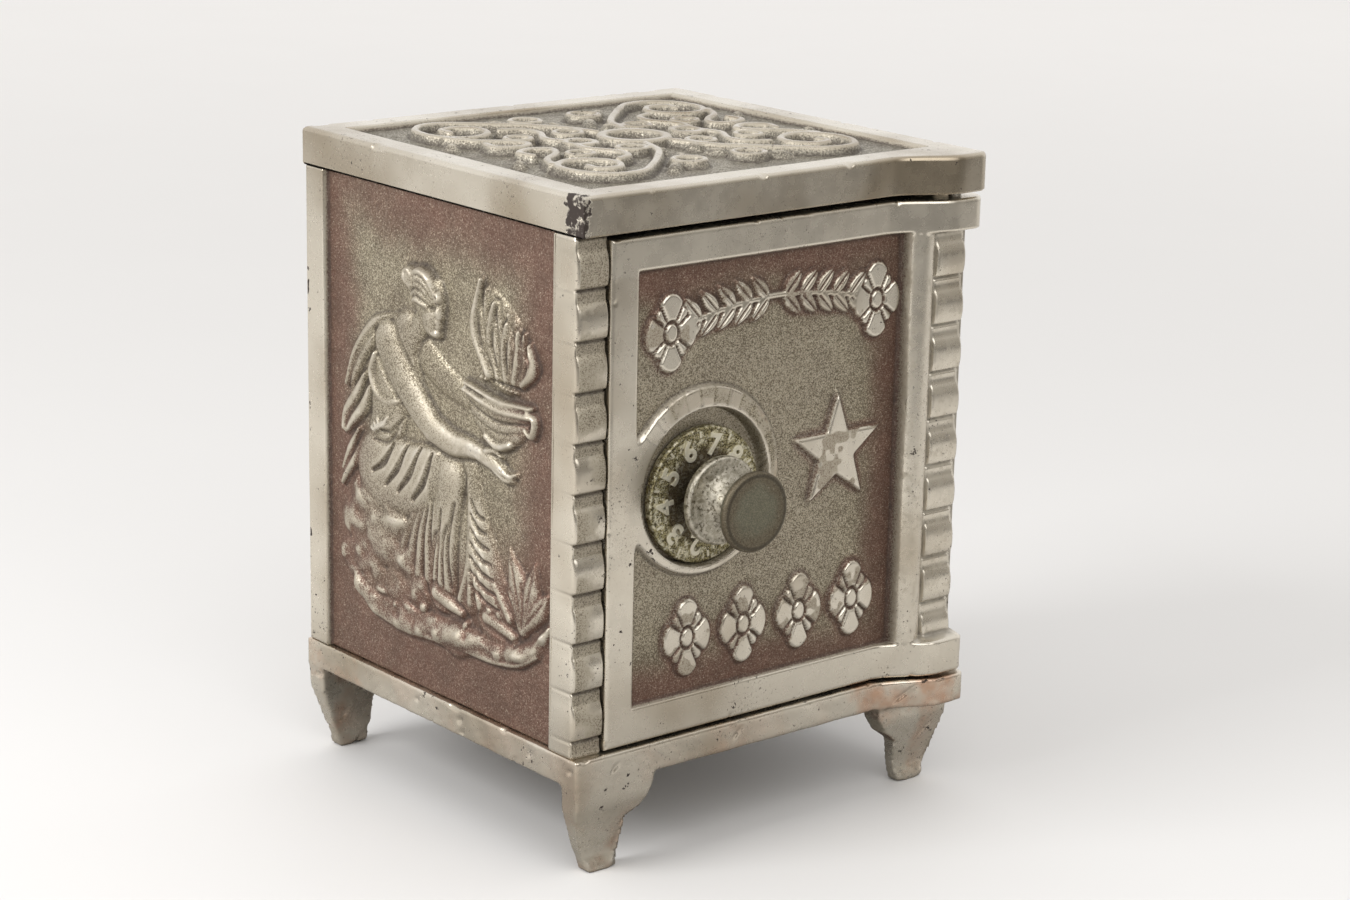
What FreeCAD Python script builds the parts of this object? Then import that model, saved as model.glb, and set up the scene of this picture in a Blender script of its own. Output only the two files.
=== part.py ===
"""Toy safe coin bank: a cast box on four feet, with a hinged door and a dial lock.

Millimetres. The origin is on the ground under the middle of the box, +Z is up and the door
faces -Y. Every casting, pin and lock part is its own body, sized by the one spreadsheet.
"""

import FreeCAD, Part
import os
import re
import Sketcher

SIZES = {
    # The box, whose middle stands behind the origin by half of what the knob sticks out
    "body_width": 92.9,
    "body_depth": 86.3,
    "box_middle": 6.46,
    "base_low": 17.4,
    "base_top": 23.0,
    "cap_low": 119.0,
    "cap_top": 126.3,
    "wall": 3.0,
    "strip_width": 6.2,
    "strip_proud": 1.2,
    "sink": 1.2,
    "rim_width": 6.0,
    "front_overhang": 1.2,
    "back_overhang": 0.8,
    "seam": 0.1,
    # The front of cap, base and door swings forward over the hinge
    "flare_start": 27.5,
    "flare_end": 38.5,
    "flare_reach": 5.3,
    "flare_radius": 8.0,
    "corner_radius": 2.5,
    # The pillowed blocks up the two front pilasters
    "block_low": 26.35,
    "block_pitch": 9.25,
    "block_height": 6.7,
    "block_proud": 1.0,
    # Hollows in the cap and base, and the lip that holds the walls
    "hollow_side": 4.6,
    "hollow_front": 9.0,
    "hollow_high": 2.6,
    "lip_width": 2.0,
    "lip_high": 2.5,
    # The feet
    "foot_width": 18.6,
    "foot_thick": 5.0,
    "foot_toe": 6.0,
    "foot_lean": 2.6,
    # Door
    "door_left": -39.25,
    "door_low": 24.1,
    "door_high": 117.8,
    "door_front": -36.99,
    "door_back": -33.49,
    "door_frame": 6.2,
    "door_bar": 31.0,
    "door_strip": 37.5,
    "bar_radius": 3.2,
    "right_front": -32.49,
    # Hinge
    "hinge_across": 42.45,
    "hinge_along": -37.91,
    "pin_radius": 1.25,
    "pin_reach": 6.0,
    "pin_seat": 4.2,
    "running": 0.05,
    "seated": 0.01,
    # Lock
    "lock_across": -16.06,
    "lock_height": 67.9,
    "dial_radius": 12.9,
    "dial_front": -35.91,
    "dial_thick": 1.7,
    "ring_across": -16.96,
    "ring_height": 70.9,
    "ring_radius": 17.6,
    "well_across": -16.66,
    "well_height": 69.6,
    "well_radius": 14.9,
    "well_floor": -33.71,
    "lug_radius": 18.0,
    "lug_back": -31.21,
    "spindle_radius": 2.0,
    "knob_front": -50.41,
    "knob_radius": 7.5,
    "flange_front": -41.11,
    "flange_radius": 8.3,
    "flange_thick": 1.8,
    "neck_radius": 4.4,
    "bush_radius": 3.0,
    "wheel_radius": 13.0,
    "wheel_thick": 1.6,
    "cam_front": -28.91,
    "tumbler_front": -25.11,
    "notch_depth": 4.0,
    "notch_height": 9.0,
    "drive_radius": 8.5,
    "drive_pin": 1.0,
    "bridge_front": -21.51,
    "bridge_thick": 1.2,
    "bridge_width": 9.0,
    "bridge_inside": 18.5,
    "bridge_foot": 8.5,
    "keeper_front": -30.31,
    "keeper_thick": 1.2,
    "keeper_reach": 14.8,
    "keeper_height": 7.0,
    "keeper_leg": 11.6,
    "small_screw": 1.1,
    "small_head_thick": 1.0,
    # Screws that tie base, walls and cap together
    "tie_across": 38.25,
    "tie_front": -12.74,
    "tie_back": 41.26,
    "tie_radius": 1.5,
    "tie_head": 3.1,
    "tie_head_thick": 2.0,
    "tie_boss": 3.2,
    "tie_tip": 122.8,
    # Coin slot in the back
    "slot_width": 28.0,
    "slot_height": 4.2,
    "slot_centre": 103.0,
    "back_thick": 4.0,
    # Raised ornament on the door and cap
    "relief": 1.0,
    "star_across": 15.7,
    "star_height": 71.2,
    "star_radius": 12.8,
    "star_waist": 5.2,
    "leaf_width": 8.6,
    "leaf_height": 13.5,
}

LEFT_WALL = "-body_width/2"
FRONT = "(box_middle - body_depth/2)"
REAR = "(box_middle + body_depth/2)"
PANEL_FACE = "door_front + sink"
LEFT_INNER = "(-body_width/2 + strip_proud + wall)"
ALONG_X = FreeCAD.Rotation(FreeCAD.Vector(0, 1, 0), 90)
ALONG_Y = FreeCAD.Rotation(FreeCAD.Vector(1, 0, 0), -90)
UPRIGHT = FreeCAD.Rotation()

doc = FreeCAD.newDocument("toy_safe_bank")
sheet = doc.addObject("Spreadsheet::Sheet", "sizes")


def fill_sheet():
    for row, (name, value) in enumerate(SIZES.items(), start=1):
        sheet.set(f"A{row}", name)
        sheet.set(f"B{row}", str(value))
        sheet.setAlias(f"B{row}", name)
    doc.recompute()


def sized(text):
    """The expression with every size's name pointed at the spreadsheet."""
    return re.sub(r"[a-z_]+", lambda word: word[0] if word[0] not in SIZES else "sizes." + word[0], text)


def number(text):
    return float(sheet.evalExpression(sized(text)))


def bind(item, **sizes):
    for name, text in sizes.items():
        item.setExpression(name, sized(text))


def place(item, at, turn=UPRIGHT):
    item.Placement = FreeCAD.Placement(FreeCAD.Vector(), turn)
    for axis, text in zip("xyz", at):
        item.setExpression(f"Placement.Base.{axis}", sized(text))


def start(node):
    """An empty body that becomes the part called `node`."""
    body = doc.addObject("PartDesign::Body", node)
    body.Label = node
    body.Placement = FreeCAD.Placement()
    return body


def box(body, kind, across, along, up):
    """Add or cut a block given by its low and high expressions on each axis."""
    block = body.newObject(f"PartDesign::{kind}Box", f"{body.Name}_block")
    place(block, [low for low, _ in (across, along, up)])
    lengths = [f"({high}) - ({low})" for low, high in (across, along, up)]
    bind(block, Length=lengths[0], Width=lengths[1], Height=lengths[2])
    return block


def rod(body, kind, radius, at, length, turn=UPRIGHT):
    """Add or cut a round bar that starts at `at` and runs up, or along +Y when turned."""
    bar = body.newObject(f"PartDesign::{kind}Cylinder", f"{body.Name}_rod")
    place(bar, at, turn)
    bind(bar, Radius=radius, Height=length)
    return bar


def lock_rod(body, kind, radius, front, back):
    """Add or cut a round bar on the lock's axis, between two depths."""
    return rod(body, kind, radius, ("lock_across", front, "lock_height"), f"({back}) - ({front})", ALONG_Y)


def outline(body, name, plane, loops, rise):
    """A sketch of closed straight-sided loops, every corner held by two bound distances."""
    sketch = body.newObject("Sketcher::SketchObject", name)
    support = [item for item in body.Origin.OriginFeatures if item.Role == plane][0]
    sketch.AttachmentSupport = [(support, "")]
    sketch.MapMode = "FlatFace"
    sketch.setExpression("AttachmentOffset.Base.z", sized(rise))
    for loop in loops:
        draw_loop(sketch, loop)
    return sketch


def draw_loop(sketch, loop):
    first = sketch.GeometryCount
    corners = [FreeCAD.Vector(number(across), number(up), 0) for across, up in loop]
    for begin, end in zip(corners, corners[1:] + corners[:1]):
        sketch.addGeometry(Part.LineSegment(begin, end), False)
    for step, (across, up) in enumerate(loop):
        line = first + step
        following = first + (step + 1) % len(loop)
        sketch.addConstraint(Sketcher.Constraint("Coincident", line, 2, following, 1))
        for kind, text in (("DistanceX", across), ("DistanceY", up)):
            rule = Sketcher.Constraint(kind, -1, 1, line, 1, number(text))
            held = sketch.addConstraint(rule)
            sketch.setExpression(f"Constraints[{held}]", sized(text))


def pad(body, sketch, length):
    block = body.newObject("PartDesign::Pad", f"{sketch.Name}_pad")
    block.Profile = sketch
    bind(block, Length=length)
    sketch.Visibility = False
    return block


def round_uprights(body, feature, places, radius):
    """Round the vertical edges of `feature` that stand at the given places."""
    doc.recompute()
    spots = [(number(across), number(along)) for across, along in places]
    names = []
    for index, edge in enumerate(feature.Shape.Edges, start=1):
        ends = [(v.X, v.Y) for v in edge.Vertexes]
        upright = len(ends) == 2 and all(abs(a - b) < 1e-6 for a, b in zip(*ends))
        if upright and any(abs(ends[0][0] - x) + abs(ends[0][1] - y) < 1e-3 for x, y in spots):
            names.append(f"Edge{index}")
    fillet = body.newObject("PartDesign::Fillet", f"{feature.Name}_round")
    fillet.Base = (feature, names)
    bind(fillet, Radius=radius)
    return fillet


def flared_plate(body, front, back, left, low, high):
    """A plate whose front edge swings forward near the hinge, with rounded bends."""
    bulge = f"{front} - flare_reach"
    plan = [
        (left, front),
        ("flare_start", front),
        ("flare_end", bulge),
        ("body_width/2", bulge),
        ("body_width/2", back),
        (left, back),
    ]
    sketch = outline(body, f"{body.Name}_plan", "XY_Plane", [plan], low)
    plate = pad(body, sketch, f"({high}) - ({low})")
    bends = round_uprights(body, plate, plan[1:3], "flare_radius")
    return round_uprights(body, bends, plan[3:4], "corner_radius")


def make_cap():
    cap = start("top_cap")
    front = f"{FRONT} - front_overhang"
    flared_plate(cap, front, f"{REAR} + back_overhang", LEFT_WALL, "cap_low", "cap_top")
    inner = "(body_width/2 - rim_width)"
    panel = (f"{FRONT} + rim_width", f"{REAR} - rim_width")
    box(cap, "Subtractive", (f"-{inner}", inner), panel, ("cap_top - sink", "cap_top"))
    hollow = "(body_width/2 - hollow_side)"
    box(
        cap,
        "Subtractive",
        (f"-{hollow}", hollow),
        (f"{FRONT} + hollow_front", f"{REAR} - hollow_side"),
        ("cap_low", "cap_low + hollow_high"),
    )
    for across, along in tie_places():
        rod(cap, "Additive", "tie_boss", (across, along, "cap_low - tie_boss"), "tie_boss + hollow_high")
        depth = "tie_tip - cap_low + tie_boss + seam"
        rod(cap, "Subtractive", "tie_radius + seated", (across, along, "cap_low - tie_boss"), depth)
    hinge = ("hinge_across", "hinge_along", "cap_low")
    rod(cap, "Subtractive", "pin_radius + seated", hinge, "pin_seat")
    ring(cap, "0", "box_middle", "rim_width + 2.4")
    for across in ("-1", "1"):
        for along in ("-1", "1"):
            ring(cap, f"{across} * 22", f"box_middle + {along} * 20", "rim_width")
    return cap


def ring(cap, across, along, radius):
    """A raised ring on the cap's sunk panel."""
    at = (across, along, "cap_top - sink")
    rod(cap, "Additive", radius, at, "relief")
    rod(cap, "Subtractive", f"{radius} - relief * 1.6", at, "relief")


def tie_places():
    return [(f"{side} * tie_across", along) for side in ("-1", "1") for along in ("tie_front", "tie_back")]


def make_base():
    base = start("base")
    front = f"{FRONT} - front_overhang"
    flared_plate(base, front, f"{REAR} + back_overhang", LEFT_WALL, "base_low", "base_top")
    hollow = "(body_width/2 - hollow_side)"
    hollow_deep = (f"{FRONT} + hollow_front", f"{REAR} - hollow_side")
    box(base, "Subtractive", (f"-{hollow}", hollow), hollow_deep, ("base_low", "base_low + hollow_high"))
    add_lip(base)
    for side in ("-1", "1"):
        add_foot(base, side, f"{front}", "front")
        add_foot(base, side, f"{REAR} + back_overhang", "back")
    for across, along in tie_places():
        rod(base, "Subtractive", "tie_radius + running", (across, along, "base_low"), "base_top - base_low")
    seat = ("hinge_across", "hinge_along", "base_top - pin_seat")
    rod(base, "Subtractive", "pin_radius + seated", seat, "pin_seat")
    return base


def add_lip(base):
    """A raised frame on the base, just inside the walls."""
    side = "(body_width/2 - strip_proud - wall - seam)"
    rear = f"({REAR} - back_thick - seam)"
    fore = "(right_front + lip_width)"
    up = ("base_top", "base_top + lip_high")
    for sign in ("-1", "1"):
        edges = sorted((f"{sign} * {side}", f"{sign} * ({side} - lip_width)"), key=number)
        box(base, "Additive", edges, (fore, rear), up)
    across = (f"-{side}", side)
    box(base, "Additive", across, (fore, f"{fore} + lip_width"), up)
    box(base, "Additive", across, (f"{rear} - lip_width", rear), up)


def add_foot(base, side, face, end):
    """One bracket foot: an ogee outline, padded inwards, then leaned back to its toe."""
    corner = "body_width/2"
    heel = "base_low + 0.6"
    outline_points = [
        (corner, heel),
        (f"{corner} - foot_width", heel),
        (f"{corner} - foot_width + 0.6", "base_low * 0.86"),
        (f"{corner} - foot_width * 0.86", "base_low * 0.67"),
        (f"{corner} - foot_width * 0.66", "base_low * 0.52"),
        (f"{corner} - foot_toe - 4.4", "base_low * 0.16"),
        (f"{corner} - foot_toe - 3.6", "0"),
        (f"{corner} - foot_toe + 1.0", "0"),
        (f"{corner} - foot_lean", "base_low * 0.28"),
        (f"{corner} - 0.4", "base_low * 0.7"),
    ]
    mirrored = [(f"{side} * ({across})", up) for across, up in outline_points]
    inset = "foot_thick" if end == "front" else "0"
    name = f"foot_{end}_{'left' if side == '-1' else 'right'}"
    sketch = outline(base, name, "XZ_Plane", [mirrored], f"-({face}) - {inset}")
    pad(base, sketch, "foot_thick")
    lean_foot(base, side, face, end)


def lean_foot(base, side, face, end):
    """Cut the sloping sliver off a foot's outer face."""
    inwards = "1" if end == "front" else "-1"
    sliver = [
        (f"{face} - {inwards}", "-1"),
        (f"{face} + {inwards} * foot_lean", "-1"),
        (f"{face} + {inwards} * foot_lean * 0.8", "base_low * 0.25"),
        (face, "base_low * 0.8"),
        (f"{face} - {inwards}", "base_low * 0.8"),
    ]
    start_across = "-body_width/2 - 1" if side == "-1" else "body_width/2 - foot_width - 1"
    name = f"lean_{end}_{'left' if side == '-1' else 'right'}"
    sketch = outline(base, name, "YZ_Plane", [sliver], start_across)
    cut = base.newObject("PartDesign::Pocket", f"{name}_cut")
    cut.Profile = sketch
    cut.Reversed = True
    bind(cut, Length="foot_width + 2")
    sketch.Visibility = False


def mirrored_range(sign, low, high):
    """A range across the box, on the left as given or on the right as its mirror."""
    return (low, high) if sign < 0 else (f"-({high})", f"-({low})")


def make_side(node, sign, front):
    """A side wall: a sunk panel between two proud strips."""
    wall = start(node)
    height = ("base_top", "cap_low")
    inner = f"{LEFT_WALL} + strip_proud + wall"
    panel = mirrored_range(sign, f"{LEFT_WALL} + strip_proud", inner)
    strip = mirrored_range(sign, LEFT_WALL, inner)
    box(wall, "Additive", panel, (front, REAR), height)
    box(wall, "Additive", strip, (front, f"{front} + strip_width"), height)
    box(wall, "Additive", strip, (f"{REAR} - strip_width", REAR), height)
    return wall


def make_left_side():
    """The left wall carries the front post with its stack of pillowed blocks."""
    front = f"{FRONT} + block_proud"
    wall = make_side("left_side", -1, front)
    post = (LEFT_WALL, f"{LEFT_WALL} + strip_width")
    box(wall, "Additive", post, (front, f"{FRONT} + strip_width"), ("base_top", "cap_low"))
    for step in range(10):
        low = f"block_low + {step} * block_pitch"
        box(wall, "Additive", post, (FRONT, front), (low, f"{low} + block_height"))
    for height in keeper_screw_heights():
        add_wall_hole(wall, height)
    return wall


def keeper_screw_heights():
    return [f"lock_height + {sign} * keeper_height * 0.28" for sign in ("-1", "1")]


def keeper_screw_depth():
    return "keeper_front + keeper_leg * 0.62"


def add_wall_hole(wall, height):
    """A blind hole for a keeper screw, bored outwards from the inner face."""
    at = (f"{LEFT_INNER} - wall * 0.8", keeper_screw_depth(), height)
    rod(wall, "Subtractive", "small_screw + seated", at, "wall * 0.8", ALONG_X)


def make_back():
    back = start("back_panel")
    edge = "(body_width/2 - strip_proud - wall - seam)"
    rear = REAR
    box(back, "Additive", (f"-{edge}", edge), (f"{rear} - back_thick", rear), ("base_top", "cap_low"))
    field = f"({edge} - rim_width)"
    box(
        back,
        "Subtractive",
        (f"-{field}", field),
        (f"{rear} - sink", rear),
        ("base_top + rim_width", "cap_low - rim_width"),
    )
    lip = "(slot_width/2 + 3)"
    tall = "(slot_height/2 + 3)"
    ledge = (f"slot_centre - {tall}", f"slot_centre + {tall}")
    box(back, "Additive", (f"-{lip}", lip), (f"{rear} - sink", f"{rear} - sink + relief"), ledge)
    slot = ("slot_centre - slot_height/2", "slot_centre + slot_height/2")
    box(back, "Subtractive", ("-slot_width/2", "slot_width/2"), (f"{rear} - back_thick", rear), slot)
    return back


def make_door():
    door = start("door")
    flared_plate(door, "door_front", "door_back", "door_left", "door_low", "door_high")
    round_hinge_end(door)
    inner_low = "door_low + door_frame"
    inner_high = "door_high - door_frame"
    up = (inner_low, inner_high)
    behind_flare = "door_front - flare_reach - 1"
    box(door, "Subtractive", ("door_left + door_frame", "door_bar"), (behind_flare, PANEL_FACE), up)
    box(door, "Subtractive", ("door_bar", "body_width/2"), (behind_flare, "door_front - 0.7"), up)
    bar_at = ("door_bar + bar_radius", "door_front", inner_low)
    rod(door, "Additive", "bar_radius", bar_at, f"({inner_high}) - ({inner_low})")
    for step in range(9):
        low = f"door_low + 4.15 + {step} * block_pitch"
        block = ("door_front - 0.7 - block_proud", "door_front")
        box(door, "Additive", ("door_strip", "body_width/2 - 1.3"), block, (low, f"{low} + block_height"))
    add_lock_seat(door)
    add_door_ornament(door)
    cut_hinge_bores(door)
    return door


def round_hinge_end(door):
    """Trim the door's rear hinge corner so it clears the side wall as it swings."""
    corner = ("body_width/2", "door_back")
    rear = [corner, (corner[0], f"{corner[1]} - 3.2"), (f"{corner[0]} - 3.2", corner[1])]
    sketch = outline(door, "hinge_corner", "XY_Plane", [rear], "door_low")
    cut = door.newObject("PartDesign::Pocket", "hinge_corner_cut")
    cut.Profile = sketch
    cut.Reversed = True
    bind(cut, Length="door_high - door_low")
    sketch.Visibility = False


def add_lock_seat(door):
    """The raised ring and sunk well round the dial, and the lug behind them."""
    at = ("ring_across", "door_front", "ring_height")
    rod(door, "Additive", "ring_radius", at, "sink + 1", ALONG_Y)
    lock_rod(door, "Additive", "lug_radius", "door_back - 1", "lug_back")
    well = ("well_across", "door_front - 1", "well_height")
    rod(door, "Subtractive", "well_radius", well, "well_floor - door_front + 1", ALONG_Y)
    lock_rod(door, "Subtractive", "bush_radius + seated", "well_floor - 1", "lug_back")
    for height in bridge_screw_heights():
        boss = ("lock_across", "door_back - 1", height)
        rod(door, "Additive", "bridge_width * 0.4", boss, "lug_back - door_back + 1", ALONG_Y)
        hole = ("lock_across", "door_back - 1", height)
        rod(door, "Subtractive", "small_screw + seated", hole, "lug_back - door_back + 1", ALONG_Y)


def bridge_screw_heights():
    reach = "(bridge_inside + bridge_thick + bridge_foot * 0.5)"
    return [f"lock_height + {sign} * {reach}" for sign in ("-1", "1")]


def add_door_ornament(door):
    """A five-pointed star, a row of lozenge leaves and an arched band of leaves."""
    sketch = outline(door, "star", "XZ_Plane", [star_points()], f"-({PANEL_FACE}) - relief * 0.5")
    pad(door, sketch, "relief * 1.5")
    row = [lozenge(f"{-20 + 13.6 * step}", "door_low + 18", "1") for step in range(4)]
    arch = [arch_lozenge(step) for step in range(8)]
    for name, loops in (("leaf_row", row), ("leaf_arch", arch)):
        leaves = outline(door, name, "XZ_Plane", loops, f"-({PANEL_FACE}) - relief * 0.5")
        pad(door, leaves, "relief * 1.5")


def star_points():
    points = []
    for step in range(10):
        radius = "star_radius" if step % 2 == 0 else "star_waist"
        angle = f"{90 + 36 * step} deg"
        points.append((f"star_across + {radius} * cos({angle})", f"star_height + {radius} * sin({angle})"))
    return points


def lozenge(across, up, scale):
    """A four-cornered leaf round one point."""
    half_width = f"leaf_width/2 * {scale}"
    half_height = f"leaf_height/2 * {scale}"
    return [
        (f"{across} + {half_width}", up),
        (across, f"{up} + {half_height}"),
        (f"{across} - {half_width}", up),
        (across, f"{up} - {half_height}"),
    ]


def arch_lozenge(step):
    """Leaves along a low arch, the two end ones larger."""
    spread = step - 3.5
    scale = "1" if step in (0, 7) else "0.68"
    return lozenge(f"{spread} * 7.7 - 0.4", f"door_high - 16.5 - {spread * spread} * 0.32", scale)


def cut_hinge_bores(door):
    for low in ("door_low", "door_high - pin_reach - seam"):
        at = ("hinge_across", "hinge_along", low)
        rod(door, "Subtractive", "pin_radius + running", at, "pin_reach + seam")


def make_hinge_pins():
    """Upper pin held in the cap; lower pin held in the base, with the collar the door sits on."""
    upper = start("upper_hinge_pin")
    low = "door_high - pin_reach"
    at = ("hinge_across", "hinge_along", low)
    rod(upper, "Additive", "pin_radius", at, f"cap_low + pin_seat - ({low})")
    lower = start("lower_hinge_pin")
    foot = "base_top - pin_seat"
    at = ("hinge_across", "hinge_along", foot)
    rod(lower, "Additive", "pin_radius", at, f"door_low + pin_reach - ({foot})")
    collar = ("hinge_across", "hinge_along", "base_top")
    rod(lower, "Additive", "pin_radius * 2", collar, "door_low - base_top - running")


def make_knob():
    knob = start("knob")
    seat = "dial_front - running"
    lock_rod(knob, "Additive", "neck_radius", "flange_front + flange_thick", seat)
    lock_rod(knob, "Additive", "flange_radius", "flange_front", "flange_front + flange_thick")
    lock_rod(knob, "Additive", "neck_radius", "knob_front + 2", "flange_front")
    taper = knob.newObject("PartDesign::AdditiveCone", "knob_taper")
    place(taper, ("lock_across", "knob_front + 2", "lock_height"), ALONG_Y)
    bind(taper, Radius1="knob_radius", Radius2="neck_radius", Height="2.4")
    lock_rod(knob, "Additive", "knob_radius", "knob_front", "knob_front + 2")
    lock_rod(knob, "Subtractive", "spindle_radius + seated", "knob_front + 3", seat)


def make_dial():
    dial = start("dial")
    back = "dial_front + dial_thick"
    lock_rod(dial, "Additive", "dial_radius", "dial_front", back)
    lock_rod(dial, "Additive", "neck_radius", back, "well_floor - seam")
    lock_rod(dial, "Subtractive", "spindle_radius + seated", "dial_front", "well_floor")


def make_spindle():
    spindle = start("spindle")
    lock_rod(spindle, "Additive", "spindle_radius", "knob_front + 3.1", "bridge_front + bridge_thick + 1")


def make_bushing():
    bushing = start("spindle_bushing")
    lock_rod(bushing, "Additive", "bush_radius", "well_floor", "lug_back")
    lock_rod(bushing, "Additive", "bush_radius + 2", "lug_back", "lug_back + 0.8")
    lock_rod(bushing, "Subtractive", "spindle_radius + running", "well_floor", "lug_back + 0.8")


def washer(node, radius, front, back):
    """A plain ring seated on the spindle."""
    collar = start(node)
    lock_rod(collar, "Additive", radius, front, back)
    lock_rod(collar, "Subtractive", "spindle_radius + seated", front, back)


def make_wheel(node, front, bore, pin_angle):
    """A notched lock wheel with its pin hole; the notch faces the keeper."""
    wheel = start(node)
    back = f"{front} + wheel_thick"
    lock_rod(wheel, "Additive", "wheel_radius", front, back)
    lock_rod(wheel, "Subtractive", bore, front, back)
    box(
        wheel,
        "Subtractive",
        ("lock_across - wheel_radius - 1", "lock_across - wheel_radius + notch_depth"),
        (front, back),
        ("lock_height - notch_height/2", "lock_height + notch_height/2"),
    )
    across, up = pin_place(pin_angle)
    rod(wheel, "Subtractive", "drive_pin + seated", (across, front, up), "wheel_thick", ALONG_Y)


def pin_place(angle):
    across = f"lock_across + drive_radius * cos({angle} deg)"
    up = f"lock_height + drive_radius * sin({angle} deg)"
    return across, up


def make_wheel_pin(node, angle, front, back):
    pin = start(node)
    across, up = pin_place(angle)
    rod(pin, "Additive", "drive_pin", (across, front, up), f"({back}) - ({front})", ALONG_Y)


def make_lock():
    cam_back = "cam_front + wheel_thick"
    tumbler_back = "tumbler_front + wheel_thick"
    make_bushing()
    washer("thrust_washer", "bush_radius + 2", "lug_back + 0.8 + running", "cam_front")
    make_wheel("drive_cam", "cam_front", "spindle_radius + seated", 90)
    washer("wheel_spacer", "bush_radius + 1", cam_back, "tumbler_front - running")
    make_wheel("tumbler_wheel", "tumbler_front", "spindle_radius + running", 104)
    washer("end_collar", "bush_radius + 1", f"{tumbler_back} + running", "bridge_front - 0.4")
    make_wheel_pin("drive_pin", 90, "cam_front", "tumbler_front - 0.5")
    make_wheel_pin("tumbler_pin", 104, f"{cam_back} + 0.5", tumbler_back)


def make_bridge():
    """The strap behind the wheels that carries the spindle's inner end."""
    bridge = start("lock_bridge")
    across = ("lock_across - bridge_width/2", "lock_across + bridge_width/2")
    span = "(bridge_inside + bridge_thick)"
    plate = ("bridge_front", "bridge_front + bridge_thick")
    box(bridge, "Additive", across, plate, (f"lock_height - {span}", f"lock_height + {span}"))
    for sign in ("-1", "1"):
        inside, outside, toe = (
            f"lock_height + {sign} * {reach}"
            for reach in ("bridge_inside", span, f"({span} + bridge_foot)")
        )
        leg = sorted((inside, outside), key=number)
        box(bridge, "Additive", across, ("lug_back", "bridge_front"), leg)
        foot = sorted((outside, toe), key=number)
        box(bridge, "Additive", across, ("lug_back", "lug_back + bridge_thick"), foot)
    for height in bridge_screw_heights():
        hole = ("lock_across", "lug_back", height)
        rod(bridge, "Subtractive", "small_screw + running", hole, "bridge_thick", ALONG_Y)
    lock_rod(bridge, "Subtractive", "spindle_radius + running", *plate)


def make_keeper():
    """The angle on the left wall whose arm stands in front of the wheels' rims."""
    keeper = start("keeper")
    up = ("lock_height - keeper_height/2", "lock_height + keeper_height/2")
    arm = ("keeper_front", "keeper_front + keeper_thick")
    box(keeper, "Additive", (LEFT_INNER, f"{LEFT_INNER} + keeper_reach"), arm, up)
    leg = ("keeper_front", "keeper_front + keeper_leg")
    box(keeper, "Additive", (LEFT_INNER, f"{LEFT_INNER} + keeper_thick"), leg, up)
    for height in keeper_screw_heights():
        at = (LEFT_INNER, keeper_screw_depth(), height)
        rod(keeper, "Subtractive", "small_screw + running", at, "keeper_thick", ALONG_X)


def loose_rod(name, radius, at, length, turn):
    bar = doc.addObject("Part::Cylinder", name)
    place(bar, at, turn)
    bind(bar, Radius=radius, Height=length)
    return bar


def screw(name, shank, head, turn):
    """A shank and the round head on its end, each given as (radius, place, length)."""
    whole = doc.addObject("Part::Fuse", name)
    whole.Base = loose_rod(f"{name}_shank", *shank, turn)
    whole.Tool = loose_rod(f"{name}_head", *head, turn)
    return whole


def group(node, items):
    """One node holding several identical separate solids."""
    bundle = doc.addObject("Part::Compound", node)
    bundle.Label = node
    bundle.Links = items
    bundle.Placement = FreeCAD.Placement()
    return bundle


def make_tie_screws():
    """Long screws up through the base into the cap, their heads in the base's hollow."""
    seat = "base_low + hollow_high"
    ties = []
    for index, (across, along) in enumerate(tie_places()):
        shank = ("tie_radius", (across, along, seat), f"tie_tip - ({seat})")
        head = ("tie_head", (across, along, f"{seat} - tie_head_thick"), "tie_head_thick")
        ties.append(screw(f"tie_{index}", shank, head, UPRIGHT))
    return group("tie_screws", ties)


def make_bridge_screws():
    tip = "door_back - 0.9"
    seat = "lug_back + bridge_thick"
    screws = []
    for index, height in enumerate(bridge_screw_heights()):
        shank = ("small_screw", ("lock_across", tip, height), f"{seat} - ({tip})")
        head = ("small_screw * 2", ("lock_across", seat, height), "small_head_thick")
        screws.append(screw(f"strap_{index}", shank, head, ALONG_Y))
    return group("bridge_screws", screws)


def make_keeper_screws():
    tip = f"{LEFT_INNER} - wall * 0.7"
    seat = f"{LEFT_INNER} + keeper_thick"
    depth = keeper_screw_depth()
    screws = []
    for index, height in enumerate(keeper_screw_heights()):
        shank = ("small_screw", (tip, depth, height), f"{seat} - ({tip})")
        head = ("small_screw * 1.6", (seat, depth, height), "small_head_thick")
        screws.append(screw(f"grip_{index}", shank, head, ALONG_X))
    return group("keeper_screws", screws)


def check(nodes):
    """Stop before anything is written if any feature failed or any part is not sound."""
    for item in doc.Objects:
        if "Invalid" in item.State or "Error" in item.State:
            raise RuntimeError(f"{item.Label} did not rebuild: {item.State}")
    for node in nodes:
        if node.Shape.isNull() or not node.Shape.isValid():
            raise RuntimeError(f"{node.Label} is not a sound solid")


def main():
    fill_sheet()
    make_cap()
    make_base()
    make_left_side()
    make_side("right_side", 1, "right_front")
    make_back()
    make_door()
    make_hinge_pins()
    make_knob()
    make_dial()
    make_spindle()
    make_lock()
    make_bridge()
    make_keeper()
    groups = [make_tie_screws(), make_bridge_screws(), make_keeper_screws()]
    doc.recompute()
    nodes = [item for item in doc.Objects if item.TypeId == "PartDesign::Body"] + groups
    check(nodes)
    os.makedirs("parts", exist_ok=True)
    for node in nodes:
        node.Shape.exportStep(f"parts/{node.Label}.step")


main()
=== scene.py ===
"""Toy safe coin bank: the finished castings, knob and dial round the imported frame.

Lengths are millimetres in the frame's own axes (X right, -Y front, Z up) until a mesh is made.
"""

import math
from types import SimpleNamespace

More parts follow.
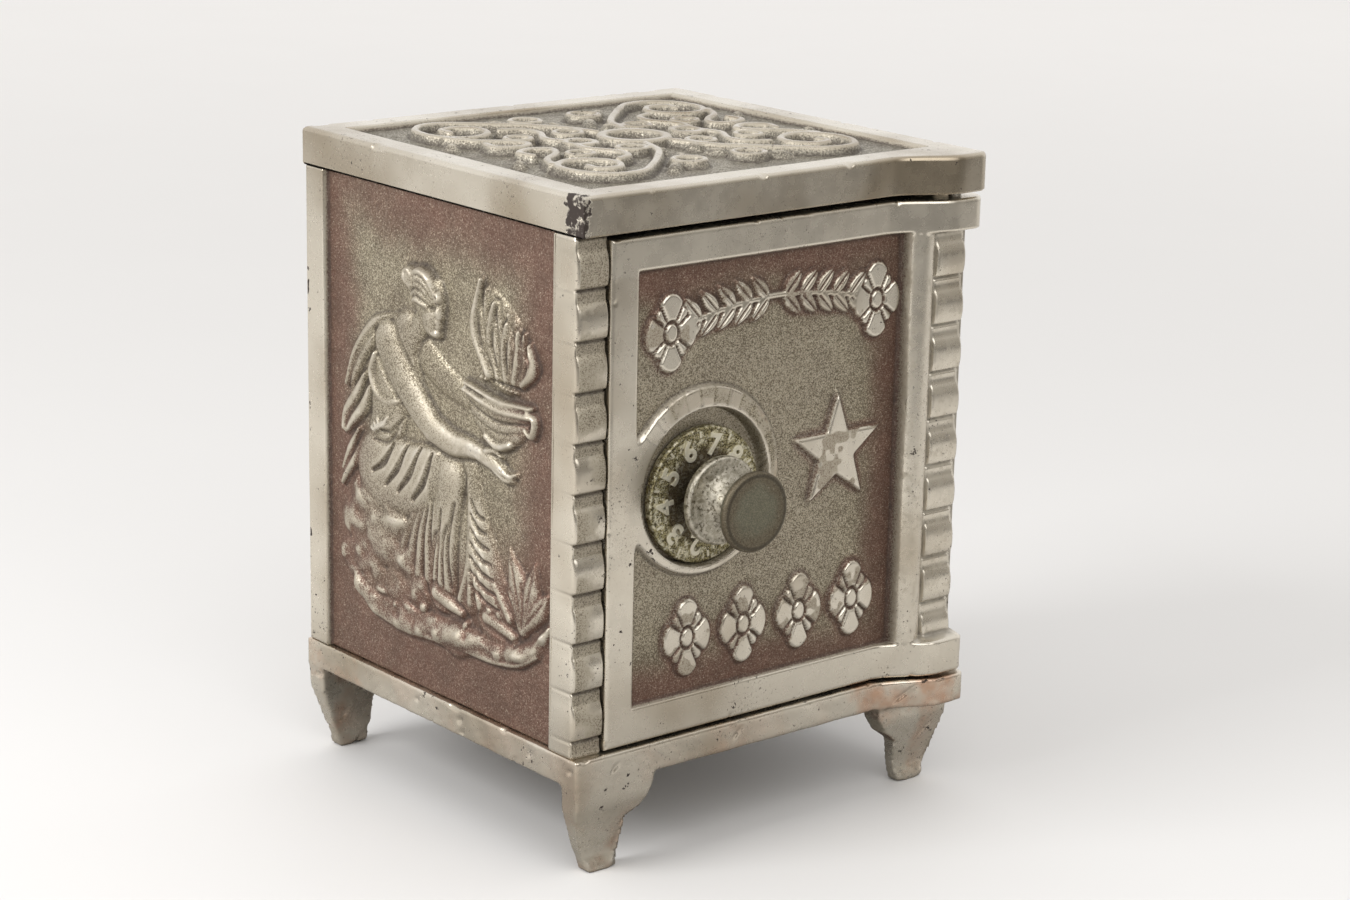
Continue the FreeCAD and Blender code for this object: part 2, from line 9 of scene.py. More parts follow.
import bpy
import numpy as np
from mathutils import Matrix, Vector


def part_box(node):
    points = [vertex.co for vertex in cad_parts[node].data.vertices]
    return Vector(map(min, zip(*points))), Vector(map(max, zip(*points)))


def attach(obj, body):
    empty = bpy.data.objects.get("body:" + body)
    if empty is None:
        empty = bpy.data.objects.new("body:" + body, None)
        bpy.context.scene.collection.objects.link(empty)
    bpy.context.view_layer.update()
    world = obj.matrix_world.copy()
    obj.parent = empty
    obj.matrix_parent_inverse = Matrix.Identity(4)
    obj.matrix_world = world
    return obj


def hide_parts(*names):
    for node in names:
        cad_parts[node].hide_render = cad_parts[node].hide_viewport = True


MM = 0.001
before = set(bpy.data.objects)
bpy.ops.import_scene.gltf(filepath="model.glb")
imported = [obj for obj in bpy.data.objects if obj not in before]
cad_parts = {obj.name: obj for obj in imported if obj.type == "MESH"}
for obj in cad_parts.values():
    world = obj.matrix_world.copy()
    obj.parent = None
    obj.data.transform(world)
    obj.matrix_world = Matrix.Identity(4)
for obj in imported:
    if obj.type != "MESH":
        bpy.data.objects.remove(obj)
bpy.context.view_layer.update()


def corners(node):
    """A CAD node's lowest and highest corners in millimetres."""
    low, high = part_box(node)
    return np.array(low) / MM, np.array(high) / MM


CAP_LOW, CAP_HIGH = corners("top_cap")
BASE_LOW, BASE_HIGH = corners("base")
LEFT_LOW, LEFT_HIGH = corners("left_side")
RIGHT_LOW, _ = corners("right_side")
BACK_LOW, BACK_HIGH = corners("back_panel")
DOOR_LOW, DOOR_HIGH = corners("door")
DIAL_LOW, DIAL_HIGH = corners("dial")
KNOB_LOW, KNOB_HIGH = corners("knob")

# The box as a whole: its half width, its front's swing forward over the hinge, its rims and panels
HALF = CAP_HIGH[0]
MIDDLE = (LEFT_LOW[1] + LEFT_HIGH[1]) / 2
WALL_FOOT = LEFT_LOW[2]
FLARE_START = 27.5
FLARE_END = 38.5
FLARE_REACH = 5.3
CORNER = 2.5
CAP_FRONT = CAP_LOW[1] + FLARE_REACH
RIM = 6.0
STRIP = 6.2
SINK = 1.2
PANEL_WALL = 3.0
GAP = 0.3

# The stacked blocks of the post and of the door's pilaster
POST_FRONT = LEFT_LOW[1]
BLOCK_LOW = WALL_FOOT + 3.35
BLOCK_PITCH = 9.25
BLOCK_HEIGHT = 6.7
BLOCK_PROUD = 1.25

# The door, from its front backwards and from its lock side to its hinge side
DOOR_FRONT = POST_FRONT - GAP
DOOR_BACK = DOOR_FRONT + 3.5
LUG_BACK = DOOR_BACK + 2.28
DOOR_BLOCK_LOW = DOOR_LOW[2] + 4.15
WELL_AT, WELL_RADIUS, WELL_DEPTH = np.array([-16.66, 69.6]), 14.9, 3.15
RING_AT, RING_RADIUS = np.array([-16.96, 70.9]), 17.6
STAR_AT, STAR_RADIUS, STAR_WAIST = (15.7, 71.4), 12.9, 5.2
BAR_START, BAR_AT, BAR_RADIUS = 31.0, 34.2, 3.2
PILASTER_START, PILASTER_END = 37.45, 45.6

# The dial's axis, and the corners of one tick, across and out from it
LOCK = np.array([(DIAL_LOW[0] + DIAL_HIGH[0]) / 2, (DIAL_LOW[2] + DIAL_HIGH[2]) / 2])
TICK_CORNERS = ((-0.22, 10.9), (0.22, 10.9), (0.22, 12.1), (-0.22, 12.1))

# How meshes are made, what the castings are made of, and where the viewer stands
GRID = 0.3
BEVEL = 0.35
METAL = "nickelled_casting"
VIEWER_SIDE = (-0.25, -0.97, 0.0)


# Numbers spread over a sheet


def smooth(value, low, high):
    """0 below low, 1 above high, with an S between."""
    t = np.clip((value - low) / (high - low), 0, 1)
    return t * t * (3 - 2 * t)


def fall(value, low, high):
    """1 below low, 0 above high, with an S between."""
    return 1 - smooth(value, low, high)


def clouds(across, up, size, seed):
    """Smooth random values from -1 to 1 whose lumps are about size across."""
    lattice = np.random.default_rng(seed).uniform(-1, 1, (128, 128))
    a, b = across / size + 1000.0, up / size + 1000.0
    i, j = np.floor(a).astype(int), np.floor(b).astype(int)
    s, t = smooth(a - i, 0, 1), smooth(b - j, 0, 1)
    i, j, i1, j1 = i % 128, j % 128, (i + 1) % 128, (j + 1) % 128
    near = lattice[i, j] * (1 - s) + lattice[i1, j] * s
    far = lattice[i, j1] * (1 - s) + lattice[i1, j1] * s
    return near * (1 - t) + far * t


def pebbles(across, up, size, seed):
    """Cast-metal lumps: three sizes of clouds together."""
    octaves = [(1.0, 1.0), (0.5, 0.5), (0.27, 0.3)]
    return sum(k * clouds(across, up, size * f, seed + n) for n, (f, k) in enumerate(octaves))


def blur(sheet, steps):
    """Average each value with its neighbours a number of times."""
    for _ in range(steps):
        padded = np.pad(sheet, 1, mode="edge")
        sheet = (padded[:-2, 1:-1] + padded[2:, 1:-1] + 2 * padded[1:-1, 1:-1]) / 4
        padded = np.pad(sheet, 1, mode="edge")
        sheet = (padded[1:-1, :-2] + padded[1:-1, 2:] + 2 * padded[1:-1, 1:-1]) / 4
    return sheet


def round_off(distance, radius):
    """How far a quarter-round edge falls away at this distance in from the edge."""
    inside = radius - np.clip(distance, 0, radius)
    return radius - np.sqrt(np.maximum(radius * radius - inside * inside, 0))


def inside_rectangle(across, up, across_range, up_range):
    """Distance in from the nearest side of a rectangle."""
    sides = np.minimum(across - across_range[0], across_range[1] - across)
    return np.minimum(sides, np.minimum(up - up_range[0], up_range[1] - up))


def stations(low, high, step, edge):
    """Grid lines from low to high, crowded together near both ends for a round edge."""
    bend = edge * (1 - np.cos(np.linspace(0, math.pi / 2, 6)))
    inner = np.linspace(low + edge, high - edge, max(2, int((high - low - 2 * edge) / step)))
    return np.concatenate([low + bend[:-1], inner, (high - bend[:-1])[::-1]])


def swing(across):
    """How far the flared front swings forward at this place across the box, eased at both ends."""
    ease = 1.5
    return FLARE_REACH * smooth(across, FLARE_START - ease, FLARE_END + ease)


class Sheet:
    """A grid of places (across, up) with a height at each, on which relief is drawn."""

    def __init__(self, across, up, origin=(0.0, 0.0)):
        self.across_lines = across
        self.up_lines = up
        self.across, self.up = np.meshgrid(across, up)
        self.height = np.zeros_like(self.across)
        self.origin = np.array(origin)
        self.flip = np.array([1, 1])

    def blank(self):
        """An empty sheet over the same places."""
        sheet = Sheet(self.across_lines, self.up_lines, self.origin)
        sheet.flip = self.flip
        return sheet

    def at(self, point):
        """Where a point of the drawing lies on the sheet."""
        return self.origin + self.flip * np.array(point)

    def window(self, low, high):
        """The grid's part between two corners."""
        a0, a1 = np.searchsorted(self.across_lines, (low[0], high[0]))
        b0, b1 = np.searchsorted(self.up_lines, (low[1], high[1]))
        return slice(max(b0 - 1, 0), b1 + 1), slice(max(a0 - 1, 0), a1 + 1)

    def raise_to(self, part, height):
        """Lift part of the sheet wherever the given height is above it."""
        self.height[part] = np.maximum(self.height[part], height)

    def stroke(self, path, radii, profile):
        """Run profile(share of radius, along) down a path and keep the highest result."""
        path = [self.at(p) for p in path]
        count = len(path) - 1
        for n in range(count):
            start, end = path[n], path[n + 1]
            reach = max(radii[n], radii[n + 1])
            part = self.window(np.minimum(start, end) - reach, np.maximum(start, end) + reach)
            a, b = self.across[part] - start[0], self.up[part] - start[1]
            run = end - start
            t = np.clip((a * run[0] + b * run[1]) / max(run @ run, 1e-9), 0, 1)
            away = np.hypot(a - t * run[0], b - t * run[1])
            radius = radii[n] + (radii[n + 1] - radii[n]) * t
            self.raise_to(part, profile(away / radius, (n + t) / count))

    def tube(self, points, radii, rise, steps=8):
        """A rounded ridge through the points."""
        path = curve(points, steps)
        widths = np.interp(np.linspace(0, 1, len(path)), np.linspace(0, 1, len(radii)), radii)
        rises = np.atleast_1d(rise)
        ends = np.linspace(0, 1, len(rises))

        def profile(share, along):
            return np.interp(along, ends, rises) * dome(share)

        self.stroke(path, widths, profile)

    def ridge(self, points, width, rise, side, steps=8):
        """A flat-topped ridge through the points, with sloping sides."""
        path = curve(points, steps)
        reach = width / 2 + side
        flat = (width / 2) / reach
        radii = np.full(len(path), reach)
        self.stroke(path, radii, lambda share, along: rise * fall(share, flat, 1))

    def ring(self, centre, radius, width, rise, side):
        """A flat-topped ridge round a circle."""
        angles = np.linspace(0, 2 * math.pi, 28)
        around = radius * self.flip * np.stack([np.cos(angles), np.sin(angles)], -1)
        self.ridge(centre + around, width, rise, side, steps=1)

    def blob(self, centre, radii, turn, rise):
        """A domed ellipse."""
        reach = max(radii)
        middle = self.at(centre)
        part = self.window(middle - reach, middle + reach)
        share = ellipse(self.across[part], self.up[part], middle, radii, turn * self.flip.prod())
        self.raise_to(part, rise * dome(share))

    def layer(self, ridges, cut=0.34):
        """Rounded ridges that belong together, set off by a crease from whatever lies behind them."""
        crease, margin = self.blank(), 0.75
        for points, radii, _ in ridges:
            crease.tube(points, [radius + margin for radius in radii], 1.0)
        depth = cut * (0.3 + 0.7 * smooth(self.height, 0.1, 0.6))
        self.height -= depth * smooth(crease.height, 0.0, 0.45)
        for points, radii, rise in ridges:
            self.tube(points, radii, rise)

    def groove(self, points, width, depth):
        """A soft crease pressed into whatever is raised there."""
        cut = self.blank()
        cut.tube(points, [width * 0.4, width, width * 0.4], 1.0, steps=6)
        self.height -= depth * cut.height * smooth(self.height, 0.1, 0.6)


def dome(share):
    """A half circle's height at a share of its radius, and 0 outside."""
    return np.sqrt(np.maximum(1 - share**2, 0))


def ellipse(across, up, centre, radii, turn):
    """Distance from an ellipse's middle as a share of its radius."""
    c, s = math.cos(math.radians(turn)), math.sin(math.radians(turn))
    a, b = across - centre[0], up - centre[1]
    return np.hypot((a * c + b * s) / radii[0], (b * c - a * s) / radii[1])


def curve(points, steps):
    """A smooth path through the points."""
    if steps <= 1 or len(points) < 3:
        return [tuple(p) for p in points]
    p = np.array(points, float)
    p = np.vstack([2 * p[0] - p[1], p, 2 * p[-1] - p[-2]])
    path = []
    for n in range(1, len(p) - 2):
        for t in np.arange(steps) / steps:
            along = p[n + 1] - p[n - 1]
            ahead = p[n + 2] - p[n]
            a = 2 * (p[n] - p[n + 1]) + (along + ahead) / 2
            b = 3 * (p[n + 1] - p[n]) - along - ahead / 2
            path.append(tuple(p[n] + along / 2 * t + b * t * t + a * t**3))
    path.append(tuple(p[-2]))
    return path


# Meshes


def link_object(name, data):
    """A new object in the scene that shows the given mesh, text, lamp or camera."""
    holder = bpy.data.objects.new(name, data)
    bpy.context.scene.collection.objects.link(holder)
    return holder


def make_object(name, points, faces, smooth_faces, values, body):
    """A mesh object in metres that rides on a body; values are named numbers at each point."""
    mesh = bpy.data.meshes.new(name)
    mesh.from_pydata((np.asarray(points) * MM).tolist(), [], faces)
    mesh.polygons.foreach_set("use_smooth", np.asarray(smooth_faces, bool))
    write_values(mesh, values)
    mesh.update()
    piece = link_object(name, mesh)
    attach(piece, body)
    return piece


def inset_loop(loop, outward, amount):
    """Move a closed loop of points inwards, square to its own run and to the sheet's normal."""
    run = np.roll(loop, -1, 0) - np.roll(loop, 1, 0)
    side = np.cross(np.array(outward, float), run)
    side /= np.maximum(np.linalg.norm(side, axis=1), 1e-9)[:, None]
    return loop + side * amount


def rear_faces(loop, rows, columns):
    """Upright strips that close a loop of points, with a many-sided one at the left and the right."""
    loop = loop.tolist()
    bottom = loop[:columns]
    right = loop[columns - 1 : columns - 1 + rows]
    top = loop[columns + rows - 2 : 2 * columns + rows - 2][::-1]
    left = [loop[0], *loop[: 2 * columns + rows - 4 : -1]]
    faces = [[bottom[1], bottom[0], *left[1:], top[1]]]
    for n in range(1, columns - 2):
        faces.append([bottom[n + 1], bottom[n], top[n], top[n + 1]])
    faces.append([bottom[-1], bottom[-2], top[-2], *right[:0:-1]])
    return faces


def slab(name, node, front, back, outward, values, body):
    """A closed plate in a node's place: a fine front sheet, bevelled walls and a plain back.

    front and back hold a point for each grid place, rows upwards and columns to the right as
    seen from outside.
    """
    rows, columns = front.shape[:2]
    index = np.arange(rows * columns).reshape(rows, columns)
    sheet = np.stack([index[:-1, :-1], index[:-1, 1:], index[1:, 1:], index[1:, :-1]], -1)
    faces = sheet.reshape(-1, 4).tolist()
    smooth_faces = [True] * len(faces)
    border = np.concatenate([index[0, :-1], index[:-1, -1], index[-1, :0:-1], index[:0:-1, 0]])
    normal = np.array(outward, float)
    rear = back.reshape(-1, 3)[border]
    shoulder = rear + normal * BEVEL
    heel = inset_loop(rear, outward, BEVEL)
    points = np.vstack([front.reshape(-1, 3), shoulder, heel])
    size, count = rows * columns, len(border)
    loops = [border, size + np.arange(count), size + count + np.arange(count)]
    for upper, lower in zip(loops, loops[1:]):
        after, below = np.roll(upper, -1), np.roll(lower, -1)
        faces += np.stack([after, upper, lower, below], -1).tolist()
        smooth_faces += [False] * count
    faces += rear_faces(loops[-1], rows, columns)
    smooth_faces += [False] * (len(faces) - len(smooth_faces))
    spread = {}
    for key, sheet_values in values.items():
        flat = sheet_values.reshape(-1)
        spread[key] = np.concatenate([flat, flat[border], flat[border]])
    piece = make_object(name, points, faces, smooth_faces, spread, body)
    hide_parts(node)
    return piece


def flat_values(count, polish, nook=0.0, openness=1.0):
    """The same values at every point of a piece, one of them the share of painted shade."""
    numbers = {"polish": polish, "nook": nook, "open": openness}
    return {key: np.full(count, number) for key, number in numbers.items()}


def lathe(name, profile, centre, values, body, segments=128, wobble=0.0, seed=1):
    """A body of revolution about an axis along Y; profile runs (radius, y) from front to back."""
    turns = np.linspace(0, 2 * math.pi, segments, endpoint=False)
    profile = np.array(profile, float)
    radius = profile[:, 0][:, None]
    depth = profile[:, 1][:, None] + 0 * turns
    bumps = wobble * clouds(radius * np.cos(turns), radius * np.sin(turns), 0.9, seed)
    across, up = centre[0] + radius * np.cos(turns), centre[1] + radius * np.sin(turns)
    ring_points = np.stack([across, depth + bumps, up], -1).reshape(-1, 3)
    count = len(profile)
    index = np.arange(count * segments).reshape(count, segments)
    after = np.roll(index, -1, 1)
    faces = np.stack([index[:-1], index[1:], after[1:], after[:-1]], -1).reshape(-1, 4).tolist()
    points = np.vstack([ring_points, [[centre[0], y, centre[1]] for y in profile[[0, -1], 1]]])
    front_pole, back_pole = count * segments, count * segments + 1
    faces += [[front_pole, int(a), int(b)] for a, b in zip(index[0], after[0])]
    faces += [[back_pole, int(b), int(a)] for a, b in zip(index[-1], after[-1])]
    spread = {key: np.append(np.repeat(v, segments), [v[0], v[-1]]) for key, v in values.items()}
    return make_object(name, points, faces, [True] * len(faces), spread, body)


def evaluated_mesh(piece):
    """The piece's mesh with its modifiers and settings worked out."""
    graph = bpy.context.evaluated_depsgraph_get()
    return bpy.data.meshes.new_from_object(piece.evaluated_get(graph), depsgraph=graph)


def read_vectors(mesh, key):
    """A vector of each vertex, such as its place or normal."""
    numbers = np.zeros(len(mesh.vertices) * 3, np.float32)
    mesh.vertices.foreach_get(key, numbers)
    return numbers.reshape(-1, 3).astype(float)


def write_values(mesh, values):
    """Store named numbers at each point of a mesh."""
    for key, numbers in values.items():
        layer = mesh.attributes.new(key, "FLOAT", "POINT")
        layer.data.foreach_set("value", np.asarray(numbers, np.float32))


def hollows(height, spread, low, high):
    """How far each place lies below its surroundings, as a share from 0 to 1."""
    return smooth(blur(height, spread) - height, low, high)


# The cap


def scroll_quarter():
    """The scrolls in one quarter of the cap, reaching from its middle out to a corner."""
    big = [(3.4, 7.6), (6, 14.6), (10.6, 20.2), (16.6, 26), (22, 30.2), (28.2, 30.6)]
    big += [(32.4, 26), (32.6, 19), (28, 14.8), (22.6, 16.6), (20.8, 21.2), (23.6, 25.2)]
    big += [(27.6, 24.6), (27.8, 21.4)]
    hook = [(32.2, 16.5), (29.4, 11.4), (24.6, 7.6), (22.6, 3.6), (26, 1.4), (30, 3.6), (29.6, 7.4)]
    inner = [(15.6, 2.4), (16.4, 6.4), (13.6, 12), (14.6, 16.6), (18.2, 18.4)]
    return big, hook, inner


def cap_height(sheet):
    """Scrollwork on the cap's sunk panel: rings, scrolls and curled leaves, four times mirrored."""
    rise = 1.75
    sheet.ring((0, 0), 6.3, 1.7, rise, 0.6)
    rings = [((13, 0.4), 2.9), ((8.4, 9.8), 2.7), ((7.2, 25.2), 3), ((20.4, 9.6), 2.5)]
    leaves = [((12.4, 27.6), (3.2, 1.5), 40), ((4.4, 19.4), (2.9, 1.5), 62)]
    leaves += [((35, 10.6), (2.4, 1.3), 80), ((3.8, 13.4), (1.7, 1.2), 60)]
    for flip in ((-1, -1), (-1, 1), (1, -1), (1, 1)):
        sheet.flip = np.array(flip)
        for points in scroll_quarter():
            sheet.ridge(points, 1.35, rise, 0.45)
        for centre, radius in rings:
            sheet.ring(centre, radius, 1.1, rise * 0.94, 0.4)
        for centre, radii, tilt in leaves:
            sheet.blob(centre, radii, tilt, rise * 0.85)


def cap_values(x, y, depth, height, relief, inside):
    """How polished, grey, chipped and open each place of the cap is, with painted shade in its
    scrollwork's hollows, and how dull it is from tarnish and painted shade.
    """
    panel = smooth(inside, -0.25, 0.55)
    rubbed = 0.08 + 0.70 * smooth(relief, 1.1, 1.65) + 0.12 * clouds(x, y, 4, 7)
    front_face = fall(depth, 0.2, 1.2)
    from_corner = np.hypot(x + HALF + 0.2, 0.7 * (y - CAP_FRONT - 2))
    return {
        "polish": 1 - panel * (1 - rubbed),
        # painted shade darkening the hollows of the scrollwork
        "nook": hollows(height, 6, 0.04, 0.32) * panel,
        "grey": panel,
        # tarnish on the panel, and painted shade darkening the front face towards the right
        "dull": 0.5 * smooth(x, -25, 40) * front_face + 0.35 * panel,
        "scar": 0.62 * fall(from_corner, 1.2, 4.6),
        "open": smooth(inside, 1, 9),
    }


def make_cap():
    """The cap: a rim that swings forward over the hinge side, round a sunk, scrolled panel."""
    edge = 0.9
    across = stations(-HALF, HALF, GRID, edge)
    along = stations(CAP_FRONT, CAP_HIGH[1], GRID, edge)
    sheet = Sheet(across, along, (0, MIDDLE))
    cap_height(sheet)
    relief = blur(sheet.height, 1)
    x, depth = sheet.across, sheet.up - CAP_FRONT
    reach = swing(x) - round_off(HALF - x, CORNER)
    y = sheet.up - reach * (1 - np.clip(depth / RIM, 0, 1))
    from_edge = inside_rectangle(x, y, (-HALF, HALF), (CAP_FRONT - reach, CAP_HIGH[1]))
    inside = inside_rectangle(x, sheet.up, (-HALF, HALF), (CAP_FRONT, CAP_HIGH[1])) - RIM
    panel = smooth(inside, -0.25, 0.55)
    ground = panel * fall(relief, 1.45, 1.7)
    nicks = 0.5 * smooth(clouds(x, y, 2.6, 11), 0.55, 0.95) * fall(from_edge, 0.2, 1.8)
    height = panel * (relief - SINK) + 0.11 * ground * pebbles(x, y, 1.1, 3) + 0.05 * clouds(x, y, 9, 5)
    height -= round_off(from_edge, edge) + nicks
    front = np.stack([x, y, CAP_HIGH[2] + height], -1)
    back = np.stack([x, y, np.full_like(x, LEFT_HIGH[2])], -1)
    values = cap_values(x, y, depth, height, relief, inside)
    return slab("cap_casting", "top_cap", front, back, (0, 0, 1), values, "box")


# The door


def inside_polygon(across, up, points):
    """Distance in from a polygon's nearest edge, negative outside it."""
    nearest = np.full_like(across, 1e9)
    inside = np.zeros(across.shape, bool)
    for (x0, z0), (x1, z1) in zip(points, points[1:] + points[:1]):
        run = np.array([x1 - x0, z1 - z0])
        t = np.clip(((across - x0) * run[0] + (up - z0) * run[1]) / (run @ run), 0, 1)
        nearest = np.minimum(nearest, np.hypot(across - x0 - t * run[0], up - z0 - t * run[1]))
        crosses = (z0 > up) != (z1 > up)
        if z1 != z0:
            inside ^= crosses & (across < x0 + (up - z0) * (x1 - x0) / (z1 - z0))
    return np.where(inside, nearest, -nearest)


def star_outline():
    """The corners of the five-pointed star, from its top round to the left."""
    points = []
    for step in range(10):
        reach = STAR_WAIST if step % 2 else STAR_RADIUS
        angle = math.radians(90 + 36 * step)
        points.append((STAR_AT[0] + reach * math.cos(angle), STAR_AT[1] + reach * math.sin(angle)))
    return points


def petal(sheet, foot, angle, length, width, rise):
    """A flat-topped leaf that grows from its foot, widest a third of the way up."""
    c, s = math.cos(math.radians(angle)), math.sin(math.radians(angle))
    part = sheet.window(np.array(foot) - length - 1, np.array(foot) + length + 1)
    a, b = sheet.across[part] - foot[0], sheet.up[part] - foot[1]
    along = np.clip((a * c + b * s) / length, 0, 1)
    away = np.abs(b * c - a * s)
    half = width / 2 * np.sin(math.pi * along**0.75) ** 0.8 + 1e-6
    vein = 0.3 * fall(away, 0.1, 0.35)
    ends = smooth(along, 0, 0.04) * fall(along, 0.95, 1)
    sheet.raise_to(part, (rise - vein) * fall(away - half, -0.42, 0.25) * ends)


def rosette(sheet, centre, width, height, rise):
    """Four round flat-topped petals parted by narrow gaps, with pointed sepals and a middle boss."""
    reach = max(width, height) / 2 + 1
    part = sheet.window(np.array(centre) - reach, np.array(centre) + reach)
    a = (sheet.across[part] - centre[0]) / (width / 2)
    b = (sheet.up[part] - centre[1]) / (height / 2)
    away, angle = np.hypot(a, b), np.arctan2(b, a)
    petals = 0.5 + 0.5 * np.abs(np.cos(2 * angle)) ** 0.45
    off_diagonal = np.degrees(np.abs((angle % (math.pi / 2)) - math.pi / 4))
    sepals = 0.80 * fall(off_diagonal, 4, 17)
    scale = (width + height) / 4
    edge = (np.maximum(petals, sepals) - away) * scale
    gap = away * scale * np.sin(np.radians(np.abs(off_diagonal - 13)))
    top = smooth(edge, -0.15, 0.55)
    top *= 1 - 0.75 * fall(gap, 0.10, 0.42) * smooth(away, 0.3, 0.42)
    top *= 1 - 0.7 * fall(np.abs(away - 0.27) * scale, 0.1, 0.5)
    sheet.raise_to(part, rise * top)


def laurel(sheet, rise):
    """A spray of paired oval leaves along a low arch."""

    def stem(t):
        """A place on the arch, from -1 to 1 along it."""
        return 29.0 * t - 0.4, DOOR_HIGH[2] - 14.6 - 5.2 * t * t

    spine = [stem(t) for t in np.linspace(-0.64, 0.64, 9)]
    sheet.ridge(spine, 0.7, rise * 0.9, 0.35)
    for step in range(10):
        t = -0.62 + 1.24 * step / 9
        foot = stem(t)
        outward = 1 if t >= 0 else -1
        for side in (-1, 1):
            petal(sheet, foot, side * (90 - outward * 44), 6, 2.9, rise)


def door_ornament(across, up):
    """A row of rosettes, a laurel spray between two more, and a thin arched line over them."""
    sheet = Sheet(across, up)
    for x in (-20, -6.4, 7.4, 20.8):
        rosette(sheet, (x, DOOR_LOW[2] + 17.2), 11.4, 15.4, 0.95)
    for x in (-25.2, 24.6):
        rosette(sheet, (x, DOOR_HIGH[2] - 18.4), 12.2, 15, 0.95)
    laurel(sheet, 0.9)
    arch = [(-29, 103.4), (-14, 108.2), (0, 109.6), (14, 108.4), (28, 104.4)]
    sheet.ridge(arch, 0.35, 0.16, 0.5, steps=10)
    return sheet.height


def door_zones(x, z):
    """Shares from 0 to 1 for the parts of the door's front, and distances from its round parts."""
    zones = SimpleNamespace()
    zones.from_well = np.hypot(x - WELL_AT[0], z - WELL_AT[1]) - WELL_RADIUS
    zones.from_ring = np.hypot(x - RING_AT[0], z - RING_AT[1]) - RING_RADIUS
    from_rails = np.minimum(z - DOOR_LOW[2], DOOR_HIGH[2] - z) - STRIP
    in_field = np.minimum(from_rails, x - DOOR_LOW[0] - STRIP)
    zones.from_frame = np.minimum(from_rails, BAR_START - x)
    zones.field = smooth(soft_minimum(in_field, zones.from_ring, 2.6), -0.2, 0.45)
    zones.ring = fall(zones.from_ring, -0.35, 0.35)
    zones.hinge_side = smooth(x, BAR_START, BAR_START + 0.25)
    zones.panel = zones.field * (1 - zones.hinge_side) * (1 - zones.ring)
    star = smooth(inside_polygon(x, z, star_outline()), -0.05, 0.95)
    zones.raised = np.maximum(star, door_ornament(x[0], z[:, 0]))
    zones.rough = zones.panel * fall(zones.raised, 0.5, 0.8)
    return zones


def door_height(x, z, zones):
    """The door's front relief above its frame's face."""
    round_bar = 0.92 * np.sqrt(np.maximum(BAR_RADIUS**2 - (x - BAR_AT) ** 2, 0))
    slope = 0.7
    inner = smooth(x, PILASTER_START, PILASTER_START + slope)
    outer = fall(x, PILASTER_END - slope, PILASTER_END)
    blocks = 0.7 + block_profile((z - DOOR_BLOCK_LOW) % BLOCK_PITCH) * inner * outer
    hinge_side = np.where(x > PILASTER_START, blocks, round_bar)
    body = (zones.raised - SINK) * (1 - zones.hinge_side) + hinge_side * zones.hinge_side
    rail = swing(x) - round_off(HALF - x, CORNER)
    height = rail * (1 - zones.field) + body * zones.field
    in_well = fall(zones.from_well, -0.35, 0.1)
    return height * smooth(zones.from_well, -0.1, 0.55) - WELL_DEPTH * in_well


def door_values(x, z, zones, height, ticks):
    """How polished, dull and open each place of the door's front is, with painted shade in its creases
    and painted light on its top rail.
    """
    flat_top = smooth(zones.raised, 0.62, 0.86)
    mottle = smooth(clouds(x, z, 3.2, 27) + 0.5 * clouds(x, z, 1.1, 28), -0.45, -0.05)
    angle = np.degrees(np.arctan2(z - RING_AT[1], x - RING_AT[0]))
    arc = zones.ring * smooth(zones.from_well, 0.4, 1)
    arc = arc * smooth(angle, -60, -30) * fall(angle, 116, 136)
    brown = arc * fall(angle, 30, 60) * fall(zones.from_ring, -1.1, -0.6)
    flaked = arc * (0.25 + 0.75 * smooth(clouds(x, z, 3.4, 33), -0.5, 0.1))
    pilaster = zones.hinge_side * zones.field
    polish = (1 - zones.panel) * (1 - 0.3 * pilaster) + zones.panel * flat_top * (0.46 + 0.54 * mottle)
    polish = polish * (1 - 0.55 * flaked - 0.3 * brown) - 0.3 * ticks
    past_well = smooth(zones.from_well, 0, 0.5)
    polish = polish * past_well + 0.35 * (1 - past_well)
    polish += 0.27 * zones.rough * smooth(zones.from_frame, 1, 20)
    creases = np.maximum(hollows(height, 14, 0.08, 0.75), 0.8 * hollows(height, 5, 0.03, 0.2))
    crowded = smooth(blur(zones.raised, 36), 0.02, 0.30)
    return {
        # tarnish on the ring's arc; the negative part paints the top rail lighter, as painted light
        "dull": 0.4 * arc - 0.45 * smooth(z, DOOR_HIGH[2] - 7.5, DOOR_HIGH[2] - 6),
        "polish": np.clip(polish, 0, 1),
        # painted shade in the creases of the panel and the pilaster
        "nook": creases * np.maximum(zones.panel, 0.8 * pilaster),
        "open": smooth(zones.from_frame, 0.5, 13) * (1 - 0.75 * crowded),
    }


def soft_minimum(a, b, reach):
    """The smaller of two distances, blended round where they meet."""
    share = np.clip(0.5 + 0.5 * (b - a) / reach, 0, 1)
    return b + (a - b) * share - reach * share * (1 - share)


def block_profile(phase):
    """Front profile up one pitch of a pilaster: a lipped, pillowed block, then a shallow sunk band."""
    share = np.clip(phase / BLOCK_HEIGHT, 0, 1)
    pillow = 1.0 - 0.42 * np.abs(2 * share - 0.9) ** 2.6
    band = 0.42 - 0.12 * np.sin(math.pi * np.clip((phase - BLOCK_HEIGHT) / 2.3, 0, 1))
    eased = pillow + (band - pillow) * smooth(phase, BLOCK_HEIGHT - 0.5, BLOCK_HEIGHT + 0.25)
    undercut = smooth(phase, BLOCK_PITCH - 0.62, BLOCK_PITCH - 0.3)
    lip = smooth(phase, -0.05, 0.28)
    return BLOCK_PROUD * (eased * (1 - undercut)) * lip


